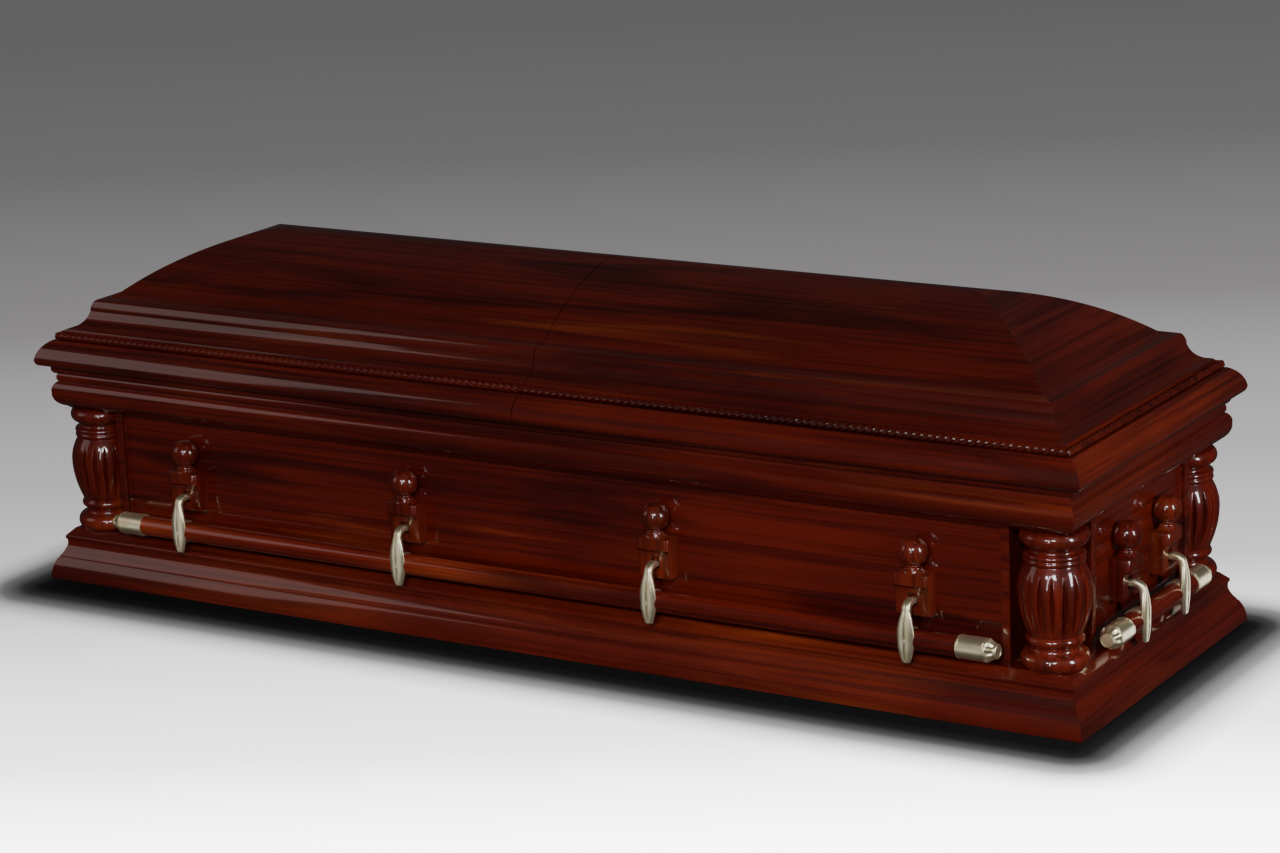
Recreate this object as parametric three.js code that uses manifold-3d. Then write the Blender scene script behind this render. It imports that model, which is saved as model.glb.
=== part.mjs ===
// A full-size hardwood casket with a split, hip-domed lid, turned and fluted corner columns and
// four swing-bar handles, in millimetres. X runs along the casket, with the foot end at +X and
// the head end at -X. The front faces -Y, and the casket stands on Z = 0.

import * as THREE from 'three';
import { mergeVertices } from 'three/addons/utils/BufferGeometryUtils.js';
import Module from 'manifold-3d';

// Overall plan, over the foot of the base moulding.
const CASKET_LENGTH = 2134;
const CASKET_WIDTH = 692;

// Gaps between pieces that touch, and between the two halves of the lid.
const GAP = 0.3;
const LID_REST_GAP = 0.5;
const LID_SPLIT_GAP = 1.6;

// Insets of the walls from the foot edge of the base moulding.
const STRIP_INSET = 47;
const STRIP_RAISE = 10;
const STRIP_WIDTH = 15;
const WALL_THICKNESS = 20;
const RETURN_THICKNESS = 15;
const NOTCH_SIZE = 100;

// Base moulding.
const BASE_HEIGHT = 95;
const FOOT_RISE = 40.5;
const FOOT_LEAN = 12.5;
const FOOT_BOW = 2.8;
const STEP_DEPTH = 1.5;
const STEP_RISE = 1;
const WAIST_INSET = 25.5;
const WAIST_Z = 64;
const WAIST_BOW = 1;
const LIP_INSET = 23;
const LIP_Z = 80.5;
const LIP_THICKNESS = 4.5;
const LIP_SPLAY = 3;
const WEATHERING_RUN = 15;
const BOARD_THICKNESS = 25;
const BOARD_LEDGE = 15;

// Cornice, the top moulding of the body, with heights above its underside.
const BODY_HEIGHT = 414.7;
const CORNICE_HEIGHT = 86.7;
const SOFFIT_INSET = 45;
const SOFFIT_BLOCK = 15;
const SOFFIT_STEP_RUN = 6;
const SOFFIT_STEP_RISE = 5;
const BULLNOSE_INSET = 20.5;
const BULLNOSE_RISE = 33;
const BULLNOSE_HEIGHT = 52.5;
const BULLNOSE_BACK = 8;
const BULLNOSE_LOWER_BOW = 6;
const BULLNOSE_UPPER_BOW = 3;
const GROOVE_DEPTH = 1.6;
const GROOVE_WIDTH = 3.5;
const FILLET_INSET = 28.3;
const FILLET_RISE = 63.5;
const FILLET_SPLAY = 2;
const BED_FOOT_RISE = 68.5;
const BED_INSET = 22;
const BED_RISE = 76.5;
const BED_BOW = 2;

// Lid rim, with the seat of the rope bead, and heights above its underside.
const RIM_UNDERSIDE_INSET = 5;
const RIM_NOSE_INSET = 0.6;
const RIM_NOSE_RISE = 9.8;
const RIM_LIP_BOW = 1.2;
const RIM_BOW = 5.5;
const RIM_SHOULDER_INSET = 27;
const ROPE_SEAT_RISE = 45.8;
const RIM_HEIGHT = 61.8;
const RIM_TOP_INSET = 43;
const RIM_INNER_INSET = 93;
const ROPE_RADIUS = 6;
const ROPE_FACETS = 8;

// Crown of the lid, with heights above the rim.
const COVE_FOOT_INSET = 44;
const COVE_END_INSET = 78.5;
const COVE_END_RISE = 29;
const COVE_BOW = 7;
const BAND_RISE = 44;
const BAND_INSET = 80;
const SHOULDER_INSET = 91;
const SHOULDER_RISE = 53.5;
const DOME_INSET = 119;
const DOME_FOOT_RISE = 61.5;
const RIDGE_RISE = 163;
const DOME_HALF_ANGLE = 15;
const DOME_STEPS = 6;
const LID_THICKNESS = 18;
const LINING_LEAN = 9;
const LINING_TURN = 6;

// Corner columns, with rises above the base and drops below the cornice.
const COLUMN_INSET = 84;
const FLUTES = 18;
const FLUTE_DEPTH = 3.2;
const BELLY_RADIUS = 62;
const BELLY_BOTTOM_RADIUS = 46;
const BELLY_TOP_RADIUS = 48.5;
const BELLY_FOOT_RISE = 58;
const BELLY_HEAD_DROP = 58;
const BELLY_LIFT = 14;
const BELLY_STEPS = 3;
const TORUS_RADIUS = 57.5;
const TORUS_HEIGHT = 27;
const TORUS_FLAT = 11;
const LOWER_NECK_RADIUS = 42;
const LOWER_NECK_RISE = 36;
const LOWER_RING_RADIUS = 49;
const LOWER_RING_RISE = 48;
const LOWER_RING_HEIGHT = 13;
const UPPER_RING_RADIUS = 51.6;
const UPPER_RING_DROP = 51.5;
const UPPER_RING_HEIGHT = 9;
const UPPER_NECK_RADIUS = 42;
const UPPER_NECK_DROP = 32;

// Hinges at the back of the lid.
const HINGE_LENGTH = 420;
const KNUCKLES = 3;
const KNUCKLE_GAP = 0.5;
const BARREL_RADIUS = 4.5;
const BARREL_FACETS = 6;
const LEAF_THICKNESS = 1.6;
const LEAF_WIDTH = 8.5;
const BARREL_DROP = 6.8;
const WEB_HALF = 1;

// Handles: a turned lug on the panel, an arm that swings in it, and a bar through the arms.
// Rises and drops are from the arm's pivot, which lies a little below the middle of the panel.
const PIVOT_DROP = 23.5;
const INNER_LUG = 260;
const SIDE_LUG_MARGIN = 160;
const END_LUG_MARGIN = 121;
const SIDE_BAR_MARGIN = 8;
const END_BAR_OVERRUN = 4;
const LUG_WIDTH = 62;
const LUG_DEPTH = 37;
const LUG_CHAMFER = 5;
const LUG_DROP = 25;
const LUG_RISE = 47;
const LINTEL_RISE = 28;
const SCOOP_DEPTH = 12;
const SCOOP_HEIGHT = 20;
const POCKET_BACK = 14.5;
const POCKET_CLEARANCE = 1.5;
const POCKET_DROP = 9;
const POCKET_RISE = 13;
const LUG_NECK_RADIUS = 10;
const LUG_NECK_RISE = 58;
const LUG_SHOULDER_RISE = 51;
const LUG_SHOULDER_DRAW = 0.6;
const BALL_RADIUS = 25;
const BALL_OUT = 20;
const BALL_RISE = 83;
const BALL_FLAT_RISE = 105;
const PIVOT_OUT = 22.5;
const ARM_NECK = 15;
const ARM_PADDLE = 31;
const ARM_TOE = 14;
const TOE_DROP = 98.5;
const ARM_HEAD = 5;
const HEAD_THICKNESS = 10;
const KNEE_RADIUS = 14;
const KNEE_OUT = 48.8;
const KNEE_RISE = 1.5;
const KNEE_THICKNESS = 13;
const PADDLE_THICKNESS = 13;
const PADDLE_RISE = 22;
const TOE_THICKNESS = 8;
const BAR_OUT = 37;
const BAR_DROP = 62;
const BAR_RADIUS = 18.3;
const BAR_FACETS = 8;
const EYE_WALL = 2.8;
const EYE_WIDTH = 16;
const TIP_LENGTH = 70;
const TIP_NOSE = 17;
const TIP_RADIUS = 20;
const TIP_NOSE_RADIUS = 12.5;
const TIP_FACE = 4;

const wasm = await Module();
wasm.setup();

const MAHOGANY = { color: 0x4a140c, roughness: 0.18, metalness: 0 };
const PLAIN_WOOD = { color: 0x6b3a22, roughness: 0.55, metalness: 0 };
const BRASS = { color: 0xc9b37a, roughness: 0.32, metalness: 1 };

const casket = new THREE.Group();
const halfLength = CASKET_LENGTH / 2;
const halfWidth = CASKET_WIDTH / 2;
const panelInset = STRIP_INSET + STRIP_RAISE;
const innerInset = panelInset + WALL_THICKNESS;
const corniceBottom = BODY_HEIGHT - CORNICE_HEIGHT;
const lidBottom = BODY_HEIGHT + LID_REST_GAP;
const rimTop = lidBottom + RIM_HEIGHT;
const pivotZ = (BASE_HEIGHT + corniceBottom) / 2 - PIVOT_DROP;
const barZ = pivotZ - BAR_DROP;

function addPiece(name, geometry, finish, parent = casket) {
  const mesh = new THREE.Mesh(geometry, new THREE.MeshStandardMaterial(finish));
  mesh.name = name;
  parent.add(mesh);
  return mesh;
}

// A closed triangle mesh turned so that its faces point out: the volume has to come out positive.
function closedGeometry(points, faces) {
  const positions = [];
  let volume = 0;
  for (const face of faces) {
    const [a, b, c] = face.map((index) => new THREE.Vector3(...points[index]));
    volume += a.dot(b.clone().cross(c));
    positions.push(a, b, c);
  }
  const ordered = [];
  for (let i = 0; i < positions.length; i += 3) {
    const triangle = positions.slice(i, i + 3);
    if (volume < 0) triangle.reverse();
    for (const corner of triangle) ordered.push(corner.x, corner.y, corner.z);
  }
  const geometry = new THREE.BufferGeometry();
  geometry.setAttribute('position', new THREE.Float32BufferAttribute(ordered, 3));
  return geometry;
}

// Stations are rows with the same number of points. Neighbouring rows are joined by quads,
// and an open run is closed by its first and last rows.
function loft(stations, ringRun = false) {
  const width = stations[0].length;
  const points = stations.flat();
  const faces = [];
  const spans = ringRun ? stations.length : stations.length - 1;
  for (let s = 0; s < spans; s++) {
    const here = s * width;
    const there = ((s + 1) % stations.length) * width;
    for (let p = 0; p < width; p++) {
      const q = (p + 1) % width;
      faces.push([here + p, here + q, there + q], [here + p, there + q, there + p]);
    }
  }
  if (!ringRun) {
    const last = (stations.length - 1) * width;
    for (const [a, b, c] of capTriangles(stations[0])) faces.push([b, a, c]);
    for (const [a, b, c] of capTriangles(stations[stations.length - 1])) {
      faces.push([last + a, last + b, last + c]);
    }
  }
  return closedGeometry(points, faces);
}

// Triangles of a flat outline in space, seen along its own normal and wound as the outline is.
function capTriangles(outline) {
  const normal = new THREE.Vector3();
  const corners = outline.map((point) => new THREE.Vector3(...point));
  for (let i = 0; i < corners.length; i++) {
    normal.add(corners[i].clone().cross(corners[(i + 1) % corners.length]));
  }
  normal.normalize();
  const across = corners[1].clone().sub(corners[0]).normalize();
  const up = normal.clone().cross(across);
  const flat = corners.map((corner) => new THREE.Vector2(corner.dot(across), corner.dot(up)));
  return THREE.ShapeUtils.triangulateShape(flat, []);
}

// A circular arc between two points of a profile, given by how far its middle stands off the
// chord, to the left of the way from start to end. The two ends are part of the list.
function bow(start, end, rise, steps) {
  const from = new THREE.Vector2(...start);
  const to = new THREE.Vector2(...end);
  const chord = to.clone().sub(from);
  const half = chord.length() / 2;
  const radius = (half * half + rise * rise) / (2 * Math.abs(rise));
  const sweep = Math.asin(half / radius);
  const left = new THREE.Vector2(-chord.y, chord.x).normalize().multiplyScalar(Math.sign(rise));
  const centre = from.clone().add(to).multiplyScalar(0.5).addScaledVector(left, Math.abs(rise) - radius);
  const along = chord.clone().normalize();
  const list = [];
  for (let i = 0; i <= steps; i++) {
    const angle = -sweep + (2 * sweep * i) / steps;
    const point = centre.clone().addScaledVector(along, radius * Math.sin(angle));
    point.addScaledVector(left, radius * Math.cos(angle));
    list.push([point.x, point.y]);
  }
  return list;
}

// A number of points along a straight line, both of its ends included.
function evenly(start, end, count) {
  return Array.from({ length: count }, (_, i) => (
    start.map((value, axis) => value + ((end[axis] - value) * i) / (count - 1))
  ));
}

// A profile is a list of [inset from the foot edge, height]. These place it at the four corners
// of the plan, and at a square cut across the casket at a given x.
const atFrontFoot = ([inset, z]) => [halfLength - inset, inset - halfWidth, z];
const atBackFoot = ([inset, z]) => [halfLength - inset, halfWidth - inset, z];
const atBackHead = ([inset, z]) => [inset - halfLength, halfWidth - inset, z];
const atFrontHead = ([inset, z]) => [inset - halfLength, inset - halfWidth, z];
const atFrontCut = (x) => ([inset, z]) => [x, inset - halfWidth, z];
const atBackCut = (x) => ([inset, z]) => [x, halfWidth - inset, z];

function sweepProfile(profile, places, ringRun = false) {
  return loft(places.map((place) => profile.map(place)), ringRun);
}

function asManifold(geometry) {
  const bare = geometry.clone();
  bare.deleteAttribute('normal');
  bare.deleteAttribute('uv');
  const merged = mergeVertices(bare, 1e-4);
  const triVerts = merged.index
    ? new Uint32Array(merged.index.array)
    : Uint32Array.from({ length: merged.attributes.position.count }, (_, i) => i);
  const vertProperties = new Float32Array(merged.attributes.position.array);
  return new wasm.Manifold(new wasm.Mesh({ numProp: 3, vertProperties, triVerts }));
}

function fromManifold(solid) {
  const { vertProperties, triVerts } = solid.getMesh();
  const geometry = new THREE.BufferGeometry();
  geometry.setAttribute('position', new THREE.Float32BufferAttribute(vertProperties, 3));
  geometry.setIndex(new THREE.Uint32BufferAttribute(triVerts, 1));
  return geometry.toNonIndexed();
}

function blockBetween(low, high) {
  const size = high.map((value, i) => value - low[i]);
  const middle = high.map((value, i) => (value + low[i]) / 2);
  return new THREE.BoxGeometry(...size).translate(...middle);
}

function extrudeOutline(outline, bottom, top) {
  const shape = new THREE.Shape(outline.map((point) => new THREE.Vector2(...point)));
  const geometry = new THREE.ExtrudeGeometry(shape, { depth: top - bottom, bevelEnabled: false });
  return geometry.translate(0, 0, bottom);
}

// Base: four mitred lengths of one moulding, and the bottom board that they carry.
function baseProfile() {
  const step = [FOOT_LEAN + STEP_DEPTH, FOOT_RISE + STEP_RISE];
  const lipFoot = LIP_Z - LIP_THICKNESS;
  const boardSeat = BASE_HEIGHT - BOARD_THICKNESS;
  return [
    ...bow([0, 0], [FOOT_LEAN, FOOT_RISE], FOOT_BOW, 3),
    ...bow(step, [WAIST_INSET, WAIST_Z], -WAIST_BOW, 2),
    [WAIST_INSET, lipFoot - LIP_SPLAY],
    [LIP_INSET, lipFoot],
    [LIP_INSET, LIP_Z],
    [LIP_INSET + WEATHERING_RUN, BASE_HEIGHT],
    [innerInset, BASE_HEIGHT],
    [innerInset, boardSeat],
    [innerInset + BOARD_LEDGE, boardSeat],
    [innerInset + BOARD_LEDGE, 0],
  ];
}

// A length between two mitred corners, drawn back from each mitre by half a gap.
function mitredLength(profile, first, second) {
  const ends = [first, second].map((place) => profile.map(place));
  const along = ends[1][0][0] !== ends[0][0][0] ? 0 : 1;
  for (const [own, other] of [[ends[0], ends[1]], [ends[1], ends[0]]]) {
    own.forEach((point, i) => {
      point[along] += Math.sign(other[i][along] - point[along]) * GAP * 0.5;
    });
  }
  return loft(ends);
}

function addBase() {
  const profile = baseProfile();
  const lengths = {
    front: [atFrontHead, atFrontFoot],
    back: [atBackHead, atBackFoot],
    head: [atFrontHead, atBackHead],
    foot: [atFrontFoot, atBackFoot],
  };
  for (const [side, corners] of Object.entries(lengths)) {
    addPiece(`base_moulding_${side}`, mitredLength(profile, ...corners), MAHOGANY);
  }
  const x = halfLength - innerInset - GAP;
  const y = halfWidth - innerInset - GAP;
  const bottom = BASE_HEIGHT - BOARD_THICKNESS + GAP;
  addPiece('bottom_board', blockBetween([-x, -y, bottom], [x, y, BASE_HEIGHT]), PLAIN_WOOD);
}

// Walls: a board with a raised strip at each end, which turns in to make the corner notch.
const stripX = halfLength - STRIP_INSET;
const stripY = halfWidth - STRIP_INSET;
const notchX = stripX - NOTCH_SIZE;
const notchY = stripY - NOTCH_SIZE;

function addWalls() {
  const bottom = BASE_HEIGHT + GAP;
  const top = corniceBottom - GAP;
  const faceY = halfWidth - panelInset;
  const sideHalf = [
    [notchX - STRIP_WIDTH, -faceY],
    [notchX - STRIP_WIDTH, -stripY],
    [notchX, -stripY],
    [notchX, -notchY],
    [notchX - RETURN_THICKNESS, -notchY],
    [notchX - RETURN_THICKNESS, WALL_THICKNESS - faceY],
  ];
  const side = [...sideHalf, ...sideHalf.map(([x, y]) => [-x, y]).reverse()];
  addPiece('side_panel_front', extrudeOutline(side, bottom, top), MAHOGANY);
  const back = extrudeOutline(side, bottom, top).rotateZ(Math.PI);
  addPiece('side_panel_back', back, MAHOGANY);

  const faceX = halfLength - panelInset;
  const outer = notchY - GAP;
  const endHalf = [
    [faceX, outer - STRIP_WIDTH],
    [stripX, outer - STRIP_WIDTH],
    [stripX, outer],
    [notchX - RETURN_THICKNESS, outer],
    [notchX - RETURN_THICKNESS, outer - RETURN_THICKNESS],
    [faceX - WALL_THICKNESS, outer - RETURN_THICKNESS],
  ];
  const end = [...endHalf, ...endHalf.map(([x, y]) => [x, -y]).reverse()];
  addPiece('end_panel_foot', extrudeOutline(end, bottom, top), MAHOGANY);
  addPiece('end_panel_head', extrudeOutline(end, bottom, top).rotateZ(Math.PI), MAHOGANY);
}

// Cornice: one mitred and glued frame, with a soffit block over each corner notch.
function corniceProfile() {
  const bullnoseBack = BULLNOSE_INSET + BULLNOSE_BACK;
  const bullnoseTop = corniceBottom + BULLNOSE_HEIGHT;
  const grooveTop = bullnoseTop + GROOVE_WIDTH;
  const step = [SOFFIT_INSET - SOFFIT_STEP_RUN, corniceBottom + SOFFIT_STEP_RISE];
  const nose = [BULLNOSE_INSET, corniceBottom + BULLNOSE_RISE];
  const bedFoot = [FILLET_INSET + FILLET_SPLAY, corniceBottom + BED_FOOT_RISE];
  return [
    [innerInset, corniceBottom],
    [SOFFIT_INSET, corniceBottom],
    ...bow(step, nose, BULLNOSE_LOWER_BOW, 4),
    ...bow(nose, [bullnoseBack, bullnoseTop], BULLNOSE_UPPER_BOW, 3).slice(1),
    [bullnoseBack + GROOVE_DEPTH, bullnoseTop],
    [bullnoseBack + GROOVE_DEPTH, grooveTop],
    [FILLET_INSET, grooveTop],
    [FILLET_INSET, corniceBottom + FILLET_RISE],
    ...bow(bedFoot, [BED_INSET, corniceBottom + BED_RISE], BED_BOW, 2),
    [BED_INSET, BODY_HEIGHT],
    [innerInset, BODY_HEIGHT],
  ];
}

function addCornice() {
  const corners = [atFrontHead, atFrontFoot, atBackFoot, atBackHead];
  let frame = asManifold(sweepProfile(corniceProfile(), corners, true));
  const lap = WALL_THICKNESS / 2;
  for (const sx of [-1, 1]) {
    for (const sy of [-1, 1]) {
      const xs = [sx * (notchX - RETURN_THICKNESS), sx * (halfLength - innerInset + lap)];
      const ys = [sy * (notchY - RETURN_THICKNESS), sy * (halfWidth - innerInset + lap)];
      const low = [Math.min(...xs), Math.min(...ys), corniceBottom];
      const high = [Math.max(...xs), Math.max(...ys), corniceBottom + SOFFIT_BLOCK];
      frame = frame.add(asManifold(blockBetween(low, high)));
    }
  }
  addPiece('cornice_frame', fromManifold(frame), MAHOGANY);
}

// Corner column: rows of [height, radius, depth of flute], in as many sides as there are flutes,
// or twice as many where a row is fluted.
function turnedBead(middle, height, radius, flat = 0) {
  const edge = radius - height / 4;
  const crest = flat ? [middle - flat / 2, middle + flat / 2] : [middle];
  return [[middle - height / 2, edge], ...crest.map((z) => [z, radius]), [middle + height / 2, edge]];
}

function bellyRows() {
  const bottom = BASE_HEIGHT + BELLY_FOOT_RISE;
  const top = corniceBottom - BELLY_HEAD_DROP;
  const widest = (bottom + top) / 2 + BELLY_LIFT;
  const rows = [];
  for (let i = 0; i <= BELLY_STEPS; i++) {
    const z = bottom + ((top - bottom) * i) / BELLY_STEPS;
    const [end, rim] = z < widest ? [bottom, BELLY_BOTTOM_RADIUS] : [top, BELLY_TOP_RADIUS];
    const share = (z - widest) / (end - widest);
    const radius = BELLY_RADIUS - (BELLY_RADIUS - rim) * share * share;
    const depth = i % BELLY_STEPS ? FLUTE_DEPTH : FLUTE_DEPTH / 2;
    rows.push([z, radius, depth]);
  }
  return rows;
}

function columnRows() {
  const foot = BASE_HEIGHT + GAP + TORUS_HEIGHT / 2;
  const head = corniceBottom - GAP - TORUS_HEIGHT / 2;
  const firstRing = corniceBottom - UPPER_RING_DROP;
  const secondRing = firstRing + UPPER_RING_HEIGHT;
  return {
    below: [
      ...turnedBead(foot, TORUS_HEIGHT, TORUS_RADIUS, TORUS_FLAT),
      [BASE_HEIGHT + LOWER_NECK_RISE, LOWER_NECK_RADIUS],
      ...turnedBead(BASE_HEIGHT + LOWER_RING_RISE, LOWER_RING_HEIGHT, LOWER_RING_RADIUS),
    ],
    belly: bellyRows(),
    above: [
      ...turnedBead(firstRing, UPPER_RING_HEIGHT, UPPER_RING_RADIUS),
      ...turnedBead(secondRing, UPPER_RING_HEIGHT, UPPER_RING_RADIUS).slice(1),
      [corniceBottom - UPPER_NECK_DROP, UPPER_NECK_RADIUS],
      ...turnedBead(head, TORUS_HEIGHT, TORUS_RADIUS, TORUS_FLAT),
    ],
  };
}

function columnGeometry() {
  const { below, belly, above } = columnRows();
  const points = [];
  const faces = [];
  const ring = (z, radius, depth, sides) => {
    const start = points.length;
    for (let i = 0; i < sides; i++) {
      const angle = (i / sides) * Math.PI * 2;
      const own = depth && i % 2 ? radius - depth : radius;
      points.push([own * Math.cos(angle), own * Math.sin(angle), z]);
    }
    return { start, sides };
  };
  const rows = [
    ...below.map(([z, radius]) => ring(z, radius, 0, FLUTES)),
    ...belly.map(([z, radius, depth]) => ring(z, radius, depth, FLUTES * 2)),
    ...above.map(([z, radius]) => ring(z, radius, 0, FLUTES)),
  ];
  const band = (low, high) => {
    const steps = Math.max(low.sides, high.sides);
    for (let i = 0; i < steps; i++) {
      const at = (row, k) => row.start + (Math.floor((k * row.sides) / steps) % row.sides);
      const [a, b, c, d] = [at(low, i), at(low, i + 1), at(high, i + 1), at(high, i)];
      if (a !== b) faces.push([a, b, c]);
      if (c !== d) faces.push([a, c, d]);
    }
  };
  rows.slice(1).forEach((row, i) => band(rows[i], row));
  const lid = rows[rows.length - 1];
  for (let i = 1; i < FLUTES - 1; i++) {
    faces.push([0, i + 1, i], [lid.start, lid.start + i, lid.start + i + 1]);
  }
  return closedGeometry(points, faces);
}

function addColumns() {
  const corners = { front_head: [-1, -1], front_foot: [1, -1], back_foot: [1, 1], back_head: [-1, 1] };
  for (const [corner, [sx, sy]] of Object.entries(corners)) {
    const mesh = addPiece(`column_${corner}`, columnGeometry(), MAHOGANY);
    mesh.position.set(sx * (halfLength - COLUMN_INSET), sy * (halfWidth - COLUMN_INSET), 0);
  }
}

// Lid: each half has a rim that carries the rope bead, and a hollow hip-domed crown on it.
function rimProfile() {
  const nose = [RIM_NOSE_INSET, lidBottom + RIM_NOSE_RISE];
  const ropeSeat = lidBottom + ROPE_SEAT_RISE;
  return [
    [RIM_INNER_INSET, lidBottom],
    [RIM_UNDERSIDE_INSET, lidBottom],
    ...bow([RIM_UNDERSIDE_INSET, lidBottom], nose, RIM_LIP_BOW, 2).slice(1),
    ...bow(nose, [RIM_SHOULDER_INSET, ropeSeat], RIM_BOW, 5).slice(1),
    [RIM_TOP_INSET, ropeSeat],
    [RIM_TOP_INSET, rimTop],
    [RIM_INNER_INSET, rimTop],
  ];
}

function ropeProfile() {
  const radius = ROPE_RADIUS;
  const inset = RIM_TOP_INSET - GAP - radius;
  const z = lidBottom + ROPE_SEAT_RISE + GAP + radius;
  const list = [];
  for (let i = 0; i < ROPE_FACETS; i++) {
    const angle = ((i + 0.5) / ROPE_FACETS) * Math.PI * 2;
    list.push([inset + radius * Math.cos(angle), z + radius * Math.sin(angle)]);
  }
  return list;
}

// The crown's section has as many points outside as inside, both from its foot to the ridge.
function domeArc(startInset, startZ, endZ) {
  const run = halfWidth - startInset;
  const rise = endZ - startZ;
  const half = Math.hypot(run, rise) / 2;
  const sagitta = half * Math.tan(THREE.MathUtils.degToRad(DOME_HALF_ANGLE) / 2);
  return bow([startInset, startZ], [halfWidth, endZ], sagitta, DOME_STEPS);
}

function crownSection() {
  const foot = rimTop + GAP;
  const domeFoot = rimTop + DOME_FOOT_RISE;
  const ridge = rimTop + RIDGE_RISE;
  const outer = [
    ...bow([COVE_FOOT_INSET, foot], [COVE_END_INSET, rimTop + COVE_END_RISE], -COVE_BOW, 4),
    [BAND_INSET, rimTop + BAND_RISE],
    [SHOULDER_INSET, rimTop + SHOULDER_RISE],
    ...domeArc(DOME_INSET, domeFoot, ridge),
  ];
  const innerFoot = domeFoot - LID_THICKNESS;
  const wallTop = [RIM_INNER_INSET + LINING_LEAN, innerFoot - LINING_TURN];
  const dome = domeArc(DOME_INSET + LID_THICKNESS / 2, innerFoot, ridge - LID_THICKNESS);
  const wall = evenly([RIM_INNER_INSET, foot], wallTop, outer.length - dome.length);
  return { outer, inner: [...wall, ...dome] };
}

function crownGeometry(cutX, direction) {
  const { outer, inner } = crownSection();
  const places = direction > 0
    ? [atFrontCut(cutX), atFrontFoot, atBackFoot, atBackCut(cutX)]
    : [atFrontCut(cutX), atFrontHead, atBackHead, atBackCut(cutX)];
  const points = [];
  const faces = [];
  const grid = (section) => places.map((place) => section.map((point) => {
    points.push(place(point));
    return points.length - 1;
  }));
  const skin = grid(outer);
  const lining = grid(inner);
  const quad = (a, b, c, d) => faces.push([a, b, c], [a, c, d]);
  for (let s = 0; s < places.length - 1; s++) {
    for (let p = 0; p < outer.length - 1; p++) {
      quad(skin[s][p], skin[s + 1][p], skin[s + 1][p + 1], skin[s][p + 1]);
      quad(lining[s][p], lining[s][p + 1], lining[s + 1][p + 1], lining[s + 1][p]);
    }
    quad(skin[s][0], lining[s][0], lining[s + 1][0], skin[s + 1][0]);
  }
  for (const [s, turn] of [[0, false], [places.length - 1, true]]) {
    for (let p = 0; p < outer.length - 1; p++) {
      const corners = [skin[s][p], skin[s][p + 1], lining[s][p + 1], lining[s][p]];
      if (turn) corners.reverse();
      quad(...corners);
    }
  }
  return closedGeometry(points, dropSlivers(points, faces));
}

// Where the sections of front and back meet on the ridge, quads shrink to triangles or lines.
function dropSlivers(points, faces) {
  const same = (a, b) => points[a].every((value, i) => Math.abs(value - points[b][i]) < 1e-6);
  return faces.filter(([a, b, c]) => !same(a, b) && !same(b, c) && !same(a, c));
}

function addLid() {
  for (const [half, direction] of [['head', -1], ['foot', 1]]) {
    const cutX = (direction * LID_SPLIT_GAP) / 2;
    const corners = direction > 0 ? [atFrontFoot, atBackFoot] : [atFrontHead, atBackHead];
    const run = [atFrontCut(cutX), ...corners, atBackCut(cutX)];
    addPiece(`lid_rim_${half}`, sweepProfile(rimProfile(), run), MAHOGANY);
    addPiece(`rope_bead_${half}`, sweepProfile(ropeProfile(), run), MAHOGANY);
    addPiece(`lid_crown_${half}`, crownGeometry(cutX, direction), MAHOGANY);
  }
}

// Hinge: a leaf on the back of the cornice and one under the rim, with knuckles in turn.
const bedFace = halfWidth - BED_INSET + GAP;
const hingeAxisY = bedFace + LEAF_THICKNESS + GAP + BARREL_RADIUS;
const hingeAxisZ = lidBottom - BARREL_DROP;

function knuckleRod(from, to) {
  const rod = new THREE.CylinderGeometry(BARREL_RADIUS, BARREL_RADIUS, to - from, BARREL_FACETS);
  rod.rotateY(Math.PI / BARREL_FACETS);
  return rod.rotateZ(Math.PI / 2).translate((from + to) / 2, hingeAxisY, hingeAxisZ);
}

function hingeLeaf(start, onLid) {
  const leafTop = lidBottom - GAP;
  const plate = onLid
    ? [[hingeAxisY, leafTop - LEAF_THICKNESS], [hingeAxisY + LEAF_WIDTH, leafTop]]
    : [[bedFace, corniceBottom + BED_RISE], [bedFace + LEAF_THICKNESS, hingeAxisZ + WEB_HALF]];
  const low = [start, plate[0][0], plate[0][1]];
  const high = [start + HINGE_LENGTH, plate[1][0], plate[1][1]];
  let leaf = asManifold(blockBetween(low, high));
  const pitch = HINGE_LENGTH / KNUCKLES;
  for (let i = onLid ? 1 : 0; i < KNUCKLES; i += 2) {
    const from = start + pitch * i + KNUCKLE_GAP / 2;
    const to = start + pitch * (i + 1) - KNUCKLE_GAP / 2;
    const web = onLid
      ? [[from, hingeAxisY, hingeAxisZ], [to, hingeAxisY + 2 * WEB_HALF, leafTop]]
      : [[from, bedFace, hingeAxisZ - WEB_HALF], [to, hingeAxisY, hingeAxisZ + WEB_HALF]];
    leaf = leaf.add(asManifold(knuckleRod(from, to))).add(asManifold(blockBetween(...web)));
  }
  return fromManifold(leaf);
}

function addHinges() {
  const middle = halfLength / 2;
  for (const [half, direction] of [['head', -1], ['foot', 1]]) {
    const start = direction * middle - HINGE_LENGTH / 2;
    addPiece(`hinge_leaf_body_${half}`, hingeLeaf(start, false), BRASS);
    addPiece(`hinge_leaf_lid_${half}`, hingeLeaf(start, true), BRASS);
  }
}

// Handles are drawn with X along the bar, Y out of the panel face and Z up. The lug's plan is a
// rectangle with its two front corners cut off, counted from the right side towards the front.
function lugPlan(gap = 0) {
  const [x, y] = [LUG_WIDTH / 2 - gap, LUG_DEPTH - gap];
  const flat = x - LUG_CHAMFER;
  return [
    [x, y - LUG_CHAMFER], [flat, y], [0, y], [-flat, y], [-x, y - LUG_CHAMFER],
    [-x, GAP], [0, GAP], [x, GAP],
  ];
}

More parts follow.
